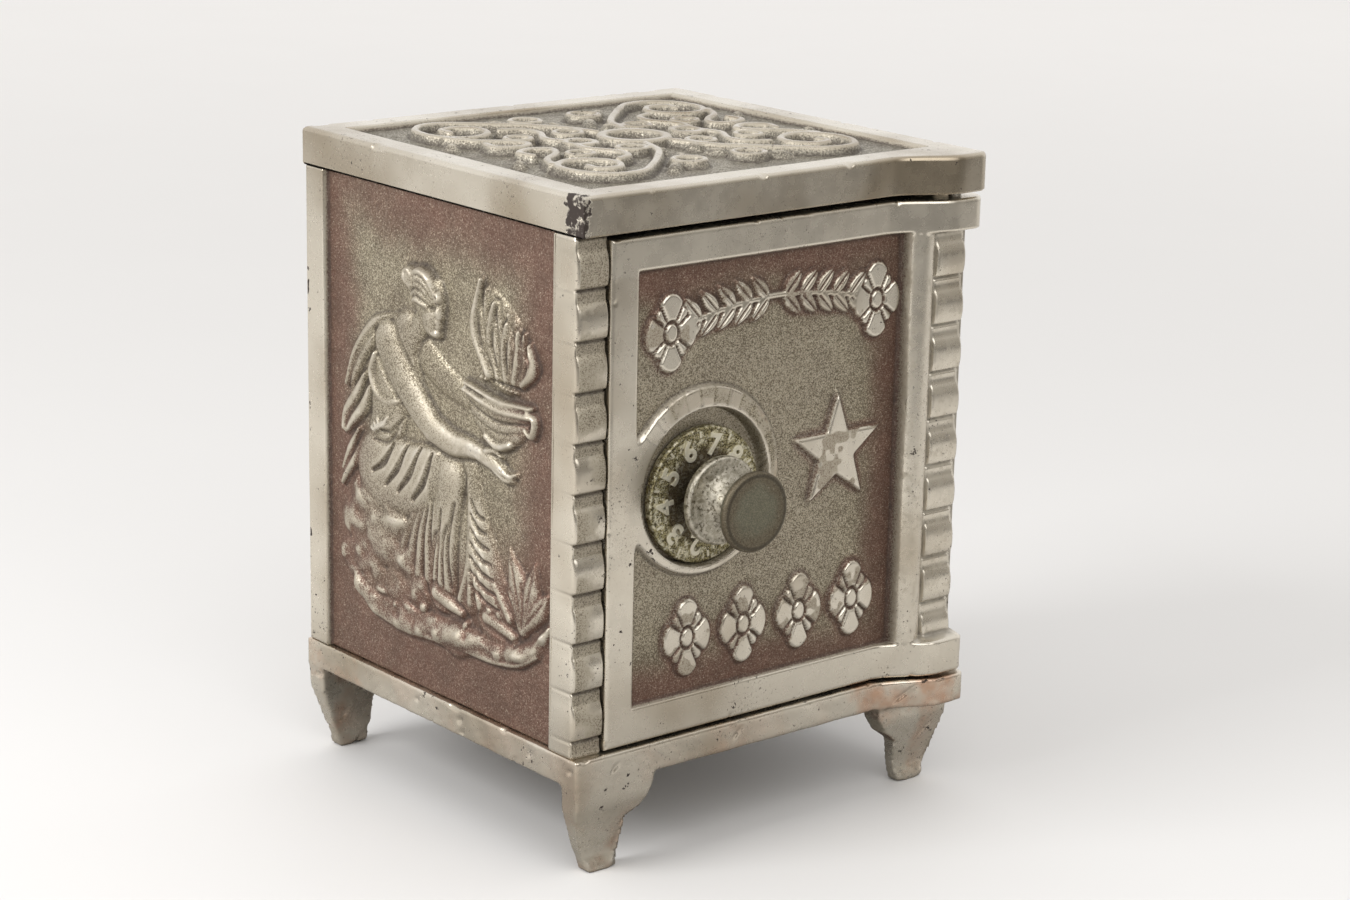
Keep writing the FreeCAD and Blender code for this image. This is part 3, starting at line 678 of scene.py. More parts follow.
def make_door():
    """The cast door with its ring and well, star, ornaments, round bar and pilaster."""
    edge = 0.7
    foot = WALL_FOOT + 0.4
    across = stations(DOOR_LOW[0], HALF, GRID * 0.9, edge)
    up = stations(foot, DOOR_HIGH[2], GRID * 0.9, edge)
    x, z = np.meshgrid(across, up)
    zones = door_zones(x, z)
    from_edge = inside_rectangle(x, z, (DOOR_LOW[0], HALF), (foot, DOOR_HIGH[2]))
    ticks = ring_ticks(x, z) * zones.ring
    height = door_height(x, z, zones) - round_off(from_edge, edge)
    height += 0.05 * zones.rough * pebbles(x, z, 0.9, 21) - 0.07 * ticks
    height += 0.04 * blur(clouds(x, z, 9, 23), 60)
    height -= 0.3 * smooth(clouds(x, z, 1.9, 25), 0.7, 0.95) * fall(from_edge, 0.2, 1.4)
    hollow = 1 - block_profile((z - DOOR_BLOCK_LOW) % BLOCK_PITCH) / BLOCK_PROUD
    notch = 1.1 * hollow * zones.field * smooth(x, HALF - 3, HALF)
    front = np.stack([x - notch, DOOR_FRONT - height, z], -1)
    rear = DOOR_BACK - np.clip(x - (HALF - 3.2), 0, 3.2)
    back = np.stack([x, rear, z], -1)
    values = door_values(x, z, zones, height, ticks)
    return slab("door_casting", "door", front, back, (0, -1, 0), values, "door")


def ring_ticks(x, z):
    """Cut marks every few degrees round the top of the raised ring."""
    spacing = 11.25
    angle = np.degrees(np.arctan2(z - WELL_AT[1], x - WELL_AT[0]))
    away = np.hypot(x - WELL_AT[0], z - WELL_AT[1]) - WELL_RADIUS
    phase = np.abs((angle / spacing) % 1 - 0.5) * spacing
    arc_width = np.radians(phase) * (WELL_RADIUS + away)
    mark = fall(arc_width, 0.12, 0.45)
    return mark * smooth(angle, 5, 12) * fall(angle, 140, 148) * smooth(away, 0.4, 0.8)


def make_lug():
    """The round boss behind the door that carries the lock, and two small screw bosses."""
    foot = DOOR_BACK - 0.05
    profile = [(0.2, foot), (18, foot), (18, LUG_BACK - 0.5), (17.9, LUG_BACK - 0.2)]
    profile += [(17.5, LUG_BACK), (3.2, LUG_BACK), (0.2, LUG_BACK)]
    bosses = [lathe("door_lug", profile, LOCK, flat_values(len(profile), 0.3), "door")]
    bridge_low, bridge_high = corners("lock_bridge")
    inset = 4.25
    for side, height in (("lower", bridge_low[2] + inset), ("upper", bridge_high[2] - inset)):
        profile = [(0.2, foot), (3.6, foot), (3.6, LUG_BACK - 0.3), (3.3, LUG_BACK), (0.2, LUG_BACK)]
        values = flat_values(len(profile), 0.3)
        bosses.append(lathe(f"door_boss_{side}", profile, (LOCK[0], height), values, "door", segments=48))
    return bosses


# The side walls and the front post


def figure_parts():
    """Tubes of the seated figure in its panel: (points, radii, rise), from the back layer to the front.

    Places are millimetres in from the panel's front edge and up from its foot.
    """
    veil = [
        ([(49, 71.5), (56.5, 68.6), (62.6, 62), (65.8, 55.4)], [0.8, 1.6, 1.5, 0.7], 1.25),
        ([(50, 70), (57.2, 65.4), (62.4, 59), (64.6, 54)], [0.6, 1.2, 1.1, 0.5], 1.05),
        ([(57.6, 56.5), (60.2, 52), (64, 48.6), (66.6, 45.6)], [0.7, 1.5, 1.5, 0.6], 1.25),
        ([(59.8, 58.2), (63, 53.6), (66.2, 49.6), (67.2, 46.2)], [0.6, 1.4, 1.4, 0.7], 1.15),
        ([(60.6, 45.6), (63, 41.2), (65.8, 38.4), (67.6, 35)], [0.7, 1.4, 1.3, 0.5], 1.15),
        ([(62, 47), (65, 42.6), (67.4, 38.2)], [0.5, 1.1, 0.6], 1),
    ]
    far_arm = [([(40.5, 66), (34, 62.6), (27.4, 60.6)], [3.4, 3, 2.3], [0.85, 0.8, 0.7])]
    sash = [(47.5, 55.6), (51.5, 54.6), (55.2, 56), (56.9, 59.6), (55.6, 63.4)]
    torso = [
        ([(45.5, 69), (49.5, 64), (51.5, 57), (52.5, 50), (54.5, 43)], [4.6, 6.6, 6, 5.4, 6.6], 1.5),
        ([(45, 63.5), (44.6, 59), (46.2, 55.2)], [3.2, 3.6, 2.2], [1.3, 1.55, 1.1]),
        ([(40.5, 72.4), (43.2, 69.8), (47, 67.6)], [2.6, 2.7, 3.8], [1.25, 1.35, 1.6]),
        (sash, [0.7, 1.1, 1.1, 1, 0.6], 1.75),
    ]
    legs = [
        ([(26.5, 47.5), (23.6, 38), (20.2, 28), (17.4, 21)], [3, 3.8, 5.2, 6.2], [0.9, 1.15, 1.35, 1.2]),
        ([(30, 43), (27.6, 33), (26, 22)], [3.2, 3.6, 3.2], [0.8, 1, 0.9]),
        ([(54.5, 40.6), (46, 40.6), (38, 42.8), (31.6, 44.6)], [8.2, 7.4, 6.2, 5], [1.75, 2, 2.2, 2.1]),
        ([(31.6, 44), (32.6, 36), (33.6, 28), (34.4, 21.4)], [4.6, 4.2, 4.2, 4.4], [2.1, 1.9, 1.75, 1.5]),
    ]
    feet = [
        ([(19.6, 20.2), (15.6, 19.4), (11.8, 18.2)], [1.7, 1.6, 1.1], [1.5, 1.35, 1]),
        ([(35.6, 20.8), (31.6, 19.6), (28, 18.6)], [1.8, 1.6, 1], [1.7, 1.5, 1.1]),
    ]
    upper_arm = [(51.6, 66.2), (47, 60.6), (41.6, 55.8), (37.2, 52.6)]
    arm = [
        (upper_arm, [4.4, 4, 3.5, 3.1], [2.1, 2.25, 2.3, 2.2]),
        ([(37.4, 52.6), (31, 51), (25.6, 51.2), (21.6, 51)], [3, 2.7, 2.1, 1.6], [2.2, 2.1, 1.9, 1.7]),
        ([(22.4, 51), (18.6, 50.2), (15.2, 49)], [1.8, 1.9, 1.3], [1.75, 1.6, 1.2]),
        ([(17, 49.6), (13.4, 48.6), (11.4, 49.2)], [0.8, 0.75, 0.5], [1.45, 1.2, 0.9]),
        ([(17.6, 48.8), (14.4, 47.6), (12.2, 47.8)], [0.75, 0.7, 0.45], [1.3, 1.1, 0.8]),
        ([(20, 52), (17.4, 52.4), (15.6, 51.6)], [0.8, 0.7, 0.45], [1.6, 1.4, 1.1]),
    ]
    return [*([ridge] for ridge in veil), far_arm, torso, *([ridge] for ridge in legs), feet, arm]


def draw_drapery(sheet):
    """Fold ridges and creases over the lap, the skirts and the bodice."""
    lap = [((36.5, 47.6), (38.4, 42), (42.6, 37.4)), ((40.6, 47.8), (43, 42.6), (47.2, 38))]
    lap += [((45.2, 47.4), (47.4, 42.6), (51.4, 38.4)), ((49.6, 46.6), (52, 42.8), (56, 40.2))]
    for points in lap:
        sheet.groove(points, 0.85, 0.85)
    for step in range(5):
        fold = [(35.4 + 1.5 * step, 38.6 - 0.5 * step), (36.2 + 2.3 * step, 31), (35.4 + 3.3 * step, 23)]
        sheet.tube(fold, [0.7, 1.25, 1.5], [1.75 - 0.16 * step, 1.5 - 0.12 * step, 1.1])
    for step in range(4):
        knee = 40.0 - 3.6 * (step % 2) - 1.1 * step
        shin = [(29.2 + 1.9 * step, knee), (31.4 + 1.5 * step, 31), (30.8 + 2.1 * step, 22.6)]
        sheet.groove(shin, 0.55 + 0.12 * step, 0.6)
    for step in range(6):
        spread = step / 5
        fold = [(25.6, 45 - 2.2 * step), (21.6 + 4 * spread, 33 - step), (12.6 + 15.4 * spread, 21.6)]
        sheet.tube(fold, [0.5, 1, 1.2], [1.1, 1.5, 1.3])
    for step in range(7):
        low = 22.4 + 2.7 * step
        sweep = [(15.6 + step * 0.9, low), (20.0 + step * 0.5, low + 0.6), (24.6, low + 3)]
        sheet.groove(sweep, 0.6, 0.7)
    sheet.groove([(47, 52.2), (50.4, 49), (54.8, 48.6)], 0.6, 0.5)
    sheet.groove([(48.4, 49.8), (51.6, 46.6), (56.2, 46.4)], 0.6, 0.5)
    for step in range(3):
        tuck = [(51.0 + 1.6 * step, 51.6 - step), (53.0 + 1.2 * step, 49.6 - 0.6 * step)]
        tuck.append((54.6 + step, 50.8 - step))
        sheet.tube(tuck, [0.5, 0.8, 0.4], 2)


def draw_head(sheet):
    """A calm, plain face in profile with bound-up hair and a bun, bowed a little forward."""
    bow = math.radians(14)
    size = 5.9
    centre = (38.6, 75.6)

    def head(a, b):
        """A place in head heights forward of and above the ear line."""
        x, y = -a * size, b * size
        forward = x * math.cos(bow) + 0.4 * y * math.sin(bow)
        return centre[0] + forward, centre[1] + y * math.cos(bow) + x * math.sin(bow)

    def heads(*places):
        """A line of such places."""
        return [head(*place) for place in places]

    tilt = 14
    sheet.blob(head(0, 0.28), (size * 0.92, size * 0.82), tilt, 1.9)
    sheet.blob(head(0.26, -0.16), (size * 0.56, size * 0.82), tilt, 2)
    sheet.tube(heads((0.5, 0.36), (0.66, 0.1), (0.74, -0.06)), [0.8, 0.85, 0.75], [1.7, 1.8, 1.75])
    sheet.tube(heads((0.58, -0.24), (0.66, -0.33)), [0.8, 0.55], 1.7)
    sheet.tube(heads((0.56, -0.42), (0.64, -0.45)), [0.75, 0.5], 1.65)
    sheet.blob(head(0.48, -0.7), (1.25, 1.1), 0, 1.75)
    sheet.tube(heads((-0.12, -0.42), (0.18, -0.72), (0.42, -0.78)), [0.9, 0.9, 0.8], 1.65)
    sheet.blob(head(0.28, -0.26), (1.5, 1.3), 0, 2.15)
    sheet.groove(heads((0.26, 0.12), (0.44, 0.07), (0.6, 0.13)), 0.5, 0.5)
    sheet.blob(head(0.42, 0.07), (0.75, 0.4), tilt, 1.85)
    sheet.groove(heads((0.42, -0.385), (0.7, -0.385)), 0.28, 0.4)
    draw_hair(sheet, heads)


def draw_hair(sheet, heads):
    """Combed-back locks, a curl over the brow and a bun; heads turns head heights into places."""
    locks = [
        ((0.62, 0.5), (0.24, 0.98), (-0.36, 0.98), (-0.86, 0.52)),
        ((0.56, 0.4), (0.14, 0.74), (-0.4, 0.74), (-0.86, 0.36)),
        ((0.5, 0.3), (0.06, 0.52), (-0.42, 0.52), (-0.84, 0.2)),
        ((0.36, 0.2), (-0.02, 0.3), (-0.42, 0.28), (-0.78, 0.04)),
        ((0.2, 0.06), (-0.1, 0.06), (-0.44, 0.04), (-0.7, -0.12)),
    ]
    for points in locks:
        lock = (heads(*points), [0.6, 0.9, 0.9, 0.6], [2, 2.4, 2.35, 2])
        sheet.layer([lock], 0.2)
    curl = heads((0.7, 0.44), (0.84, 0.56), (0.7, 0.68), (0.56, 0.56))
    sheet.tube(curl, [0.65, 0.6, 0.5, 0.4], 2.1)
    sheet.blob(heads((-0.86, 0.56))[0], (2.5, 2.2), 0, 2.1)
    for turn in (30, 150, 270):
        g = math.radians(turn)
        loop = [(-0.88 + 0.26 * math.cos(g + k), 0.58 + 0.26 * math.sin(g + k)) for k in (0, 0.9, 1.8)]
        sheet.tube(heads(*loop), [0.4, 0.65, 0.4], 2.25)


def draw_bowl(sheet):
    """A banded, handled bowl held out in front, with a rim of beads and a fan of flames over it."""
    part = sheet.window(sheet.at((4, 50)), sheet.at((28, 64)))
    a, b = sheet.across[part], sheet.up[part]
    middle = sheet.at((16.4, 62.2))
    share = ellipse(a, b, middle, (9.9, 8.8), 0)
    sheet.raise_to(part, 1.75 * dome(share) ** 0.7 * smooth(middle[1] - b, -0.2, 0.4))
    sheet.tube([(6.6, 61), (16.4, 60.6), (26.4, 62.4)], [0.7, 0.9, 0.7], 2.15)
    sheet.tube([(6.4, 62.6), (16.4, 62.2), (26.6, 63.6)], [0.45, 0.6, 0.45], 1.9)
    sheet.groove([(7.6, 59.4), (16.4, 58.4), (25.4, 60.2)], 0.5, 0.6)
    sheet.groove([(8.6, 57.6), (16.4, 56.2), (24.2, 58)], 0.35, 0.4)
    sheet.tube([(7.4, 61.8), (5.4, 60.4), (6.2, 57.6), (8.2, 58.4)], [0.7, 0.8, 0.8, 0.5], 1.7)
    sheet.tube([(12.6, 54.6), (16.4, 53.6), (20, 54.8)], [0.8, 1.1, 0.8], 1.7)
    for bead in range(9):
        sheet.blob((11.4 + 1.3 * bead, 64.7 + 0.1 * bead), (0.62, 0.62), 0, 1.3)
    sheet.tube([(14.6, 68.2), (15.6, 73.4), (19.4, 78.8)], [4.8, 6.4, 3.6], [1.1, 1.2, 0.9])
    for step in range(13):
        share = step / 12
        foot = (9.6 + 9.6 * share, 66.4)
        sway = 1.2 * math.sin(step * 1.9)
        tip = (7.4 + 15.6 * share + sway, 72.6 + 9.6 * share**0.8 + 1.4 * math.cos(step * 2.6))
        waist = ((foot[0] + tip[0]) / 2 + 4.4 * (share - 0.5) - sway, (foot[1] + tip[1]) / 2 - 0.6)
        rise = 1.5 + 0.3 * math.cos(step * 2.1)
        sheet.layer([([foot, waist, tip], [0.9, 1.35, 0.5], [rise, rise, rise * 0.75])], 0.3)


def draw_ground(sheet):
    """The rock seat, the uneven ground under the feet and a tuft of broad leaves in front."""
    rocks = [(50, 32, 6.6, 1.3), (58, 33, 7, 1.4), (63.5, 28.5, 5, 1.2), (53.5, 26.5, 6.6, 1.3)]
    rocks += [(60, 22.6, 6, 1.2), (46.5, 24.6, 5, 1.1), (65.4, 21, 3.6, 0.9)]
    rocks += [(42, 19.4, 4.6, 0.9), (49, 18.4, 5.6, 1), (56.4, 17.4, 5.4, 1)]
    stone = sheet.blank()
    for x, y, radius, rise in rocks:
        stone.blob((x, y), (radius, radius * 0.8), 18 * math.sin(x), rise)
    bank = [(0.8, 22.5), (4.4, 18.4), (10, 15.4), (18, 14), (28, 13.8)]
    bank += [(38, 13.2), (49, 12.6), (58, 14.2), (65, 18.8)]
    stone.tube(bank, [0.9, 1.5, 1.9, 2.4, 2.8, 3, 3, 2.6, 1.4], 1.6)
    lumps = 0.42 * clouds(stone.across, 1.3 * stone.up, 4.4, 31)
    lumps += 0.3 * clouds(stone.across, stone.up, 1.9, 32)
    sheet.height = np.maximum(sheet.height, blur(stone.height, 3) * (1 + lumps))
    lower = [(x, y - 2) for x, y in bank[1:-1]]
    sheet.tube(lower, [0.4, 0.7, 0.8, 0.8, 0.8, 0.7, 0.4], 1.2)
    for step in range(12):
        x = 8.0 + 4.6 * step
        knoll = (x, 15.6 + 1.0 * math.sin(step * 2))
        radii = (2.0 + 1.1 * math.sin(step * 2.6), 1.0 + 0.35 * math.cos(step * 1.7))
        sheet.blob(knoll, radii, 24 * math.cos(step * 3), 1.35)
    leaves = [(104, 13.5, 4.4), (72, 15, 4.8), (132, 11, 4), (46, 11.5, 4.2), (88, 9, 3.4)]
    for angle, length, width in leaves:
        g = math.radians(angle)
        foot = (9, 20.6)
        tip = (foot[0] + length * math.cos(g), foot[1] + length * math.sin(g))
        bend = (foot[0] + 0.55 * length * math.cos(g) - 0.8, foot[1] + 0.58 * length * math.sin(g))
        sheet.tube([foot, bend, tip], [width * 0.36, width * 0.62, 0.25], [1, 1.25, 0.7])
        sheet.groove([foot, bend, tip], 0.35, 0.35)
    sheet.tube([(25, 11.6), (30, 10.6), (36, 11.4)], [0.5, 1.4, 0.4], 0.8)


def figure_height(along, up, edge):
    """The relief of a seated figure offering a bowl of fire; edge is the panel's front limit in Y."""
    sheet = Sheet(along, up, (edge, WALL_FOOT))
    draw_ground(sheet)
    for group in figure_parts():
        sheet.layer(group)
    draw_drapery(sheet)
    draw_head(sheet)
    draw_bowl(sheet)
    return sheet.height


def wall_values(y, z, height, figure, in_field, field):
    """How chipped, polished and open each place of a side wall is, and where painted shade darkens its
    creases.
    """
    crest = smooth(figure - blur(figure, 50), -0.12, 0.42)
    lit = smooth(figure + 0.25 * clouds(y, z, 3.0, 44), 0.15, 1.3)
    level = z - WALL_FOOT
    worn = lit * (0.30 + 0.70 * crest)
    worn *= (0.72 + 0.28 * smooth(level, 16, 34)) * (1 - 0.24 * smooth(level, 46, 60))
    creases = hollows(height, 5, 0.02, 0.17) + 0.7 * hollows(height, 45, 0.05, 0.5)
    from_back = LEFT_HIGH[1] - y
    along_edge = smooth(from_back, 0.1, 0.6) * fall(from_back, 0.7, 1.7)
    return {
        "scar": 0.8 * along_edge * smooth(pebbles(y, z, 3.4, 46), 0.35, 0.8),
        "polish": 1 - field * (1 - 0.74 * worn),
        # painted shade in the relief's creases and hollows
        "nook": np.clip(creases, 0, 1) * field,
        "open": smooth(np.minimum(in_field, LEFT_HIGH[2] - z), 0.5, 20) * smooth(level, 6, 60),
    }


def make_wall(name, node, side, front, panel_front, fine):
    """A side wall with its sunk figure panel; side is -1 on the left and 1 on the right."""
    low, high = corners(node)
    edge = 0.5
    along = stations(front, high[1], fine, edge)
    up = stations(low[2] + 0.02, high[2] - 0.02, fine, edge)
    y, z = np.meshgrid(along, up)
    in_field = np.minimum(high[1] - STRIP - y, y - panel_front)
    field = smooth(in_field, -0.3, 0.3)
    figure = blur(figure_height(along, up, panel_front), 2)
    from_edge = np.minimum(high[1] - y, np.minimum(z - low[2], high[2] - z))
    rough = field * (1 - 0.6 * smooth(figure, 0.8, 1.6))
    height = field * (figure * smooth(in_field, 0, 1.2) - SINK)
    height += 0.04 * rough * pebbles(y, z, 0.8, 41) + 0.05 * clouds(y, z, 10, 42)
    height -= round_off(from_edge, edge)
    values = wall_values(y, z, height, figure, in_field, field)
    x = side * (HALF + height)
    inner = side * (HALF - SINK - PANEL_WALL)
    front_sheet = np.stack([x, y, z], -1)
    back_sheet = np.stack([np.full_like(x, inner), y, z], -1)
    if side < 0:
        front_sheet, back_sheet = front_sheet[:, ::-1], back_sheet[:, ::-1]
        values = {key: sheet[:, ::-1] for key, sheet in values.items()}
    return slab(name, node, front_sheet, back_sheet, (side, 0, 0), values, "box")


def rounded_outline(points, radii):
    """A closed outline with its corners rounded by five points each, as rows of (x, y)."""
    path = []
    for n, corner in enumerate(points):
        corner = np.array(corner, float)
        before = np.array(points[n - 1], float) - corner
        after = np.array(points[(n + 1) % len(points)], float) - corner
        before, after = before / np.linalg.norm(before), after / np.linalg.norm(after)
        for t in np.linspace(0, 1, 5):
            start, end = corner + before * radii[n], corner + after * radii[n]
            path.append((1 - t) ** 2 * start + 2 * t * (1 - t) * corner + t * t * end)
    return np.array(path)


def post_outline(z, from_end):
    """The post's rounded outline at one level; from_end is how far its nearer end is."""
    proud = float(block_profile(np.array((z - BLOCK_LOW) % BLOCK_PITCH)))
    inset = 0.3 * fall(from_end, 0, 0.5)
    wobble = 0.06 * clouds(np.array(z), np.array(0.0), 4, 71)
    pinch = 0.3 * (1 - proud / BLOCK_PROUD)
    left, right = LEFT_LOW[0] + inset, DOOR_LOW[0] - GAP - inset
    inner = LEFT_LOW[0] + SINK + PANEL_WALL
    face = POST_FRONT + BLOCK_PROUD - proud + inset
    heel = POST_FRONT + STRIP
    rear = heel + BLOCK_PROUD
    outline = [(left + 0.6 * pinch + wobble, face), (right - 0.25 * pinch, face), (right, heel)]
    outline += [(inner, heel), (inner, rear), (left, rear)]
    radii = [0.55 + 0.5 * proud, 0.3 + 0.15 * proud, 0.3, 0.2, 0.2, 0.45]
    return rounded_outline(outline, radii)


def post_values(points):
    """The post's side and rear are bright and its blocks' fronts rubbed, with painted shade under each
    block and in the bands between them.
    """
    across, depth, up = points.T
    phase = (up - BLOCK_LOW) % BLOCK_PITCH
    in_front = (depth < POST_FRONT + 1.6) & (across > LEFT_LOW[0] + 0.5)
    rubbed = 0.38 + 0.42 * smooth(clouds(across, up, 5.5, 73), -0.3, 0.4) * (phase < BLOCK_HEIGHT)
    lower_edge = smooth(phase, BLOCK_PITCH - 0.8, BLOCK_PITCH - 0.35)
    band = smooth(phase, BLOCK_HEIGHT - 0.1, BLOCK_HEIGHT + 0.4)
    return {
        "polish": np.where(in_front, rubbed, 1.0),
        # painted shade under each block's lower edge and, fainter, in the band between blocks
        "nook": np.clip(0.9 * (lower_edge + 0.25 * band) * in_front, 0, 1),
        "open": np.full(len(points), 0.8),
    }


def make_post():
    """The front left post: a stack of pillowed blocks whose left face is the wall's front strip."""
    levels = np.arange(WALL_FOOT, LEFT_HIGH[2] + 0.1, 0.25)
    rings = np.array([post_outline(z, min(z - levels[0], levels[-1] - z)) for z in levels])
    count, size = rings.shape[:2]
    points = np.concatenate([rings, np.repeat(levels[:, None, None], size, 1)], 2).reshape(-1, 3)
    index = np.arange(count * size).reshape(count, size)
    after = np.roll(index, -1, 1)
    faces = np.stack([index[:-1], after[:-1], after[1:], index[1:]], -1).reshape(-1, 4).tolist()
    smooth_faces = [True] * len(faces) + [False, False]
    faces += [index[0, ::-1].tolist(), index[-1].tolist()]
    return make_object("post_casting", points, faces, smooth_faces, post_values(points), "box")


# The base and the back


def remeshed_copy(name, node, voxel, relax):
    """A box node's shape as one even mesh with softened edges, ready for small shaping moves."""
    piece = link_object(name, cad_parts[node].data.copy())
    grid = piece.modifiers.new("even", "REMESH")
    grid.mode = "VOXEL"
    grid.voxel_size = voxel * MM
    grid.use_smooth_shade = True
    ease = piece.modifiers.new("ease", "SMOOTH")
    ease.factor = 0.5
    ease.iterations = relax
    bpy.context.view_layer.update()
    piece.data = evaluated_mesh(piece)
    piece.modifiers.clear()
    piece.data.materials.clear()
    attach(piece, "box")
    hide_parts(node)
    return piece, read_vectors(piece.data, "co") / MM, read_vectors(piece.data, "normal")


def finish_copy(piece, points, values):
    """Put the shaped points and their values into the piece's mesh."""
    piece.data.vertices.foreach_set("co", (points * MM).astype(np.float32).ravel())
    piece.data.update()
    write_values(piece.data, values)
    return piece


def shape_feet(points, normals, foot):
    """Hollow the feet's outer faces, flare their toes and taper their inner faces."""
    x, y, z = points.T
    side, outer = np.sign(x), np.where(y < MIDDLE, -1.0, 1.0)
    dish = 0.55 * np.sin(np.clip(z / 13.0, 0, 1) * math.pi)
    toe = 0.9 * fall(z, 0.4, 3.4)
    points[:, 1] += foot * outer * (toe - dish) * (normals[:, 1] * outer > 0.3)
    points[:, 0] += foot * side * 0.5 * toe * (normals[:, 0] * side > 0.2)
    points[:, 0] -= 1.2 * side * smooth(-normals[:, 0] * side, 0.3, 0.8) * fall(z, 2.0, 12.0)


def make_base():
    """The cast base: edges rounded, feet hollowed and flared at the toe, surface slightly uneven."""
    base, points, normals = remeshed_copy("base_casting", "base", 0.4, 3)
    x, y, z = points.T
    foot = fall(z, BASE_LOW[2] + 14.5, BASE_LOW[2] + 16.5)
    shape_feet(points, normals, foot)
    from_corner = np.hypot(x + HALF, 0.8 * (y - BASE_LOW[1]))
    worn_corner = fall(from_corner, 1.0, 2.6) * smooth(pebbles(x + y, z, 3.0, 64), -0.5, 0.3)
    bumps = 0.07 * clouds(x + 0.7 * z, y - 0.6 * z, 3.5, 61) + 0.03 * clouds(x + z, y + z, 1.1, 62)
    dents = 0.35 * smooth(clouds(x - z, y + 0.8 * z, 2.4, 63), 0.72, 0.97)
    points += normals * (bumps - dents)[:, None]
    down = -normals[:, 2]
    rim = fall(np.abs(z - WALL_FOOT), 0.3, 1.5) * (normals[:, 1] < -0.2)
    rim = rim * smooth(pebbles(x, z, 4.5, 66), -0.1, 0.5) * smooth(x, -HALF, -10)
    values = {
        "polish": 0.95 - 0.25 * foot - 0.5 * smooth(down, 0.3, 0.9),
        # painted shade on the faces that look down
        "nook": 0.6 * (z < BASE_HIGH[2]) * smooth(down, 0.5, 0.95),
        "open": np.zeros(len(z)),
        "copper": 0.2 + 0.8 * smooth(clouds(x + y, 0.6 * z, 16, 65), -0.1, 0.7),
        "scar": np.maximum(0.8 * worn_corner, 0.46 * rim),
    }
    return finish_copy(base, points, values)


def make_back():
    """The cast back: a framed, pebbled panel with the coin slot left open."""
    back, points, normals = remeshed_copy("back_casting", "back_panel", 0.45, 2)
    x, y, z = points.T
    outside = smooth(normals[:, 1], 0.4, 0.9)
    panel = smooth(BACK_HIGH[1] - y, 0.5, 1.0) * outside
    points[:, 1] += 0.09 * panel * pebbles(x, z, 1.0, 81) + 0.05 * outside * clouds(x, z, 8, 82)
    edge = inside_rectangle(x, z, (BACK_LOW[0], BACK_HIGH[0]), (BACK_LOW[2], BACK_HIGH[2]))
    values = {
        "polish": np.clip(1 - 0.95 * panel - 0.7 * (1 - outside), 0, 1),
        # painted shade along the panel's edges beside the rim
        "nook": 0.7 * panel * fall(edge, RIM + 0.2, RIM + 1.4),
        "open": smooth(edge, RIM, RIM + 16),
    }
    return finish_copy(back, points, values)


# Knob and dial


def even(profile, step):
    """The same profile with points no further apart than step."""
    profile = np.array(profile)
    rows = [profile[0]]
    for start, end in zip(profile, profile[1:]):
        count = max(1, math.ceil(np.hypot(*(end - start)) / step))
        rows += [start + (end - start) * n / count for n in range(1, count + 1)]
    return np.array(rows)


def make_knob():
    """A flat-headed knob on a waisted neck, with a wide flange standing off the dial."""
    front = KNOB_LOW[1]
    flange = front + 9.3
    shape = [(0.15, 0.12), (5.6, 0.06), (6.6, 0), (7.2, 0.1), (7.45, 0.4), (7.5, 0.95), (7.35, 1.5)]
    shape += [(6.9, 2.0), (5.2, 2.6), (3.7, 3.6), (3.1, 5.0), (3.1, 6.4), (3.5, 7.5), (4.3, 8.4)]
    shape += [(5.4, 9.0), (6.6, 9.28), (7.2, 9.3), (7.5, 9.18), (7.95, 9.2), (8.2, 9.45), (8.3, 9.9)]
    shape += [(8.25, 10.6), (7.9, 11.0), (4.6, 11.1), (4.4, 11.5)]
    outline = [(radius, front + depth) for radius, depth in shape]
    outline += [(4.4, KNOB_HIGH[1]), (2.2, KNOB_HIGH[1])]
    profile = even(outline, 0.35)
    radius, depth = profile.T
    head = depth < front + 2.3
    rim = smooth(radius, 2.5, 6.8) * (depth < front + 1.2)
    line = (np.abs(radius - 6.85) < 0.3) & (depth < front + 0.5)
    values = {
        "polish": np.where(head, rim, 0.85),
        # painted shade on the neck behind the flange, and a painted dark line round the head's rim
        "nook": np.where((depth > flange + 1.75) & (radius < 8), 0.9, np.where(line, 0.55, 0.0)),
        "open": np.where(head, 1.0, 0.0),
    }
    knob = lathe("knob_turned", profile, LOCK, values, "dial_group", 144, 0.035, 91)
    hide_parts("knob")
    return knob


def make_dial():
    """A brass dial with a raised rim; its numerals and ticks stand proud and worn bright."""
    front = DIAL_LOW[1]
    shape = [(3.0, 0.3), (7.6, 0.3), (12.0, 0.28), (12.35, 0.08), (12.7, 0.12), (12.9, 0.4)]
    shape += [(12.9, 1.4), (12.7, 1.7), (4.4, 1.7)]
    outline = [(radius, front + depth) for radius, depth in shape]
    outline += [(4.4, DIAL_HIGH[1]), (2.2, DIAL_HIGH[1])]
    profile = even(outline, 0.4)
    bright = smooth(profile[:, 0], 12.1, 12.5) * (profile[:, 1] < front + 0.5)
    # painted shadow of the knob's flange on the dial's face round its middle
    flange_shadow = fall(profile[:, 0], 8.2, 9.6) * (profile[:, 1] < front + 0.5)
    values = flat_values(len(profile), 0.3 * bright, 0.75 * flange_shadow)
    dial = lathe("dial_disc", profile, LOCK, values, "dial_group", 144, 0.07, 95)
    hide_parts("dial")
    return dial, make_dial_marks(front)


def on_dial(across, out, angle, depth):
    """A place on the dial, measured across and out from its middle towards an angle."""
    a = out * math.cos(angle) - across * math.sin(angle)
    b = out * math.sin(angle) + across * math.cos(angle)
    return LOCK[0] + a, depth, LOCK[1] + b


